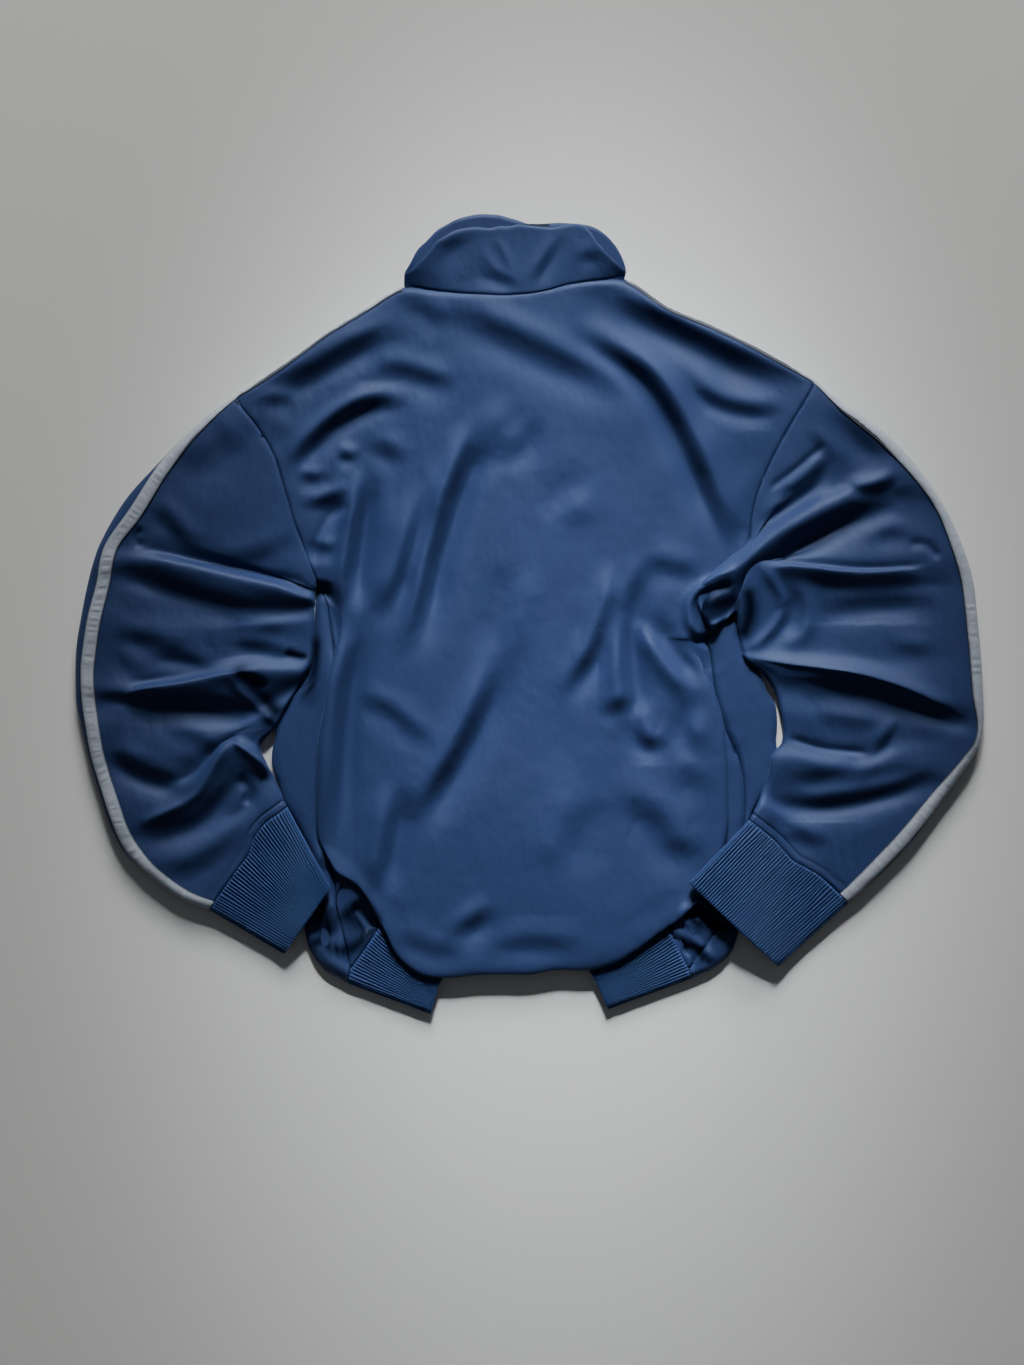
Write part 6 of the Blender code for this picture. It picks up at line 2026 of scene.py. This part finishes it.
def zip_middle():
    """Points down the middle of the zip's lower face, from the collar to the hem."""
    collar, front, band = grids["collar"], grids["front_left"], grids["hem_rib"]
    stations = [collar[row, 0, 1:] for row in (COLLAR_ROWS, 2, 1, 0)]
    stations += [front[row, -1, 1:] for row in (1, 2, 3, len(front) // 2, len(front) - 2)]
    stations += [band[row, 0, 1:] for row in (0, BAND_ROWS)]
    return np.array([(ZIP_X, y, z + TEETH_LIFT) for y, z in stations])


tooth = stitch_piece("tooth_piece", 0.8, 4.6, 0.28)
tooth_line = resampled(zip_middle(), 2.0)
tooth_y = tooth_line[:, 1]
tooth_line = tooth_line[(tooth_y < tooth_y[0] - TEETH_FROM) & (tooth_y > tooth_y[-1] + TEETH_TO)]
made["zip_teeth"] = pieces_along("zip_teeth", [tooth_line], 1.5, tooth, ZIP_FINISH, 6)

# %% [markdown]
#
# Each piece rides on the jacket's one body and stands for its CAD solid. Each is a sheet of cloth,
# so its cut size is stated: the width and length of the rectangle that it was cut from, and the
# area of the cut itself.

# %% Rides and sheets
Cut = namedtuple("Cut", "node width length area held rests slot")
CUTS = rows_of(Cut, (
    ("back", 0.58, 0.66, 0.270, "folded", "front_left_cloth", "navy_tricot"),
    ("front_left", 0.28, 0.62, 0.130, "folded", "", "navy_tricot"),
    ("front_right", 0.28, 0.62, 0.130, "folded", "", "navy_tricot"),
    ("sleeve_left", 0.42, 0.52, 0.145, "folded", "", "navy_tricot"),
    ("sleeve_right", 0.42, 0.52, 0.145, "folded", "", "navy_tricot"),
    ("collar", 0.46, 0.07, 0.025, "folded", "front_left_cloth", "navy_tricot"),
    ("cuff_left", 0.19, 0.085, 0.016, "folded", "front_left_cloth", "navy_rib"),
    ("cuff_right", 0.19, 0.085, 0.016, "folded", "front_right_cloth", "navy_rib"),
    ("hem_rib", 0.80, 0.075, 0.058, "folded", "", "navy_rib"),
    ("tape_left", 0.0123, 0.74, None, "laid", "sleeve_left_cloth", "grey_tape"),
    ("tape_right", 0.0123, 0.74, None, "laid", "sleeve_right_cloth", "grey_tape"),
))
EXTRAS = {
    "tape_left": ["stitches_tapes"],
    "sleeve_left": ["stitches_cloth"],
}
for cut in CUTS:
    piece = made[cut.node]
    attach(piece, "root")
    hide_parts(cut.node)
    area = sum(polygon.area for polygon in piece.data.polygons) / 2
    cut_area = cut.area or cut.width * cut.length
    print(cut.node, "cloth", round(area, 4), "m2, cut", round(cut_area, 4), end=" ")
    print("ratio", round(area / cut_area, 2))
    [made[name] for name in EXTRAS.get(cut.node, [])]
THREAD_SLOTS = {"stitches_tapes": "grey_tape", "stitches_cloth": "navy_tricot", "zip_teeth": "zip_navy"}
for name, slot in THREAD_SLOTS.items():
    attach(made[name], "root")
for node, finish in (("zip", ZIP_TAPE_FINISH), ("zip_slider", METAL_FINISH)):
    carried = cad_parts[node]
    carried.data.materials.clear()
    carried.data.materials.append(finish)
print(sum(triangles_in(piece) for piece in made.values()), "triangles added")

# %% [markdown]
# ## Floor, light and camera
#
# A plain pale floor takes a soft shadow all round. A large soft light low over the collar's end
# rakes across the cloth, so that the side of every fold that faces it is lit and the other side
# falls dark. A weak narrow light from the same side lifts the middle of the back. The camera looks
# straight down.

# %% Floor
FLOOR_HALF, FLOOR_Z = 20, -0.0005  # metres
corners = [(x * FLOOR_HALF, y * FLOOR_HALF, FLOOR_Z) for x, y in ((-1, -1), (1, -1), (1, 1), (-1, 1))]
floor_mesh = bpy.data.meshes.new("floor")
floor_mesh.from_pydata(corners, [], [(0, 1, 2, 3)])
floor_mesh.materials.append(FLOOR_FINISH)
floor = placed("floor", floor_mesh)
print("floor", 2 * FLOOR_HALF, "m wide")


# %% Lights
def area_light(name, place, aim, size, watts, tint):
    data = bpy.data.lights.new(name, "AREA")
    data.shape = "RECTANGLE"
    data.size, data.size_y = size
    data.energy = watts
    data.color = tint
    lamp = placed(name, data)
    lamp.location = place
    lamp.rotation_mode = "QUATERNION"
    lamp.rotation_quaternion = (Vector(aim) - Vector(place)).to_track_quat("-Z", "Y")
    print(name, watts, "W")
    return lamp


area_light("key", (0.20, 5.2, 2.0), (0, 0, 0), (2.6, 1.2), 330, (1.0, 0.99, 0.97))
pool = area_light("pool", (0.05, 1.75, 1.25), (0.03, -0.10, 0), (0.3, 0.3), 1.3, (0.93, 0.97, 1.0))
pool.data.spread = math.radians(20)
world = bpy.data.worlds.new("studio")
world.use_nodes = True
sky = world.node_tree.nodes["Background"].inputs
sky["Color"].default_value = (0.9, 0.95, 1.0, 1)
sky["Strength"].default_value = 0.06
bpy.context.scene.world = world

# %% Camera
CAMERA_HEIGHT = 2.5
VIEW_HEIGHT = 1.2012  # the length of the picture's long side on the cloth, in metres
CLOTH_HEIGHT = 0.012  # the cloth that the picture is measured on
SENSOR = 36
camera_data = bpy.data.cameras.new("camera")
camera_data.sensor_width = SENSOR
camera_data.lens = SENSOR * (CAMERA_HEIGHT - CLOTH_HEIGHT) / VIEW_HEIGHT
camera = placed("camera", camera_data)
camera.location = (-0.015, -0.0594, CAMERA_HEIGHT)
bpy.context.scene.camera = camera
print("camera", CAMERA_HEIGHT, "m up, lens", round(camera_data.lens, 1), "mm")
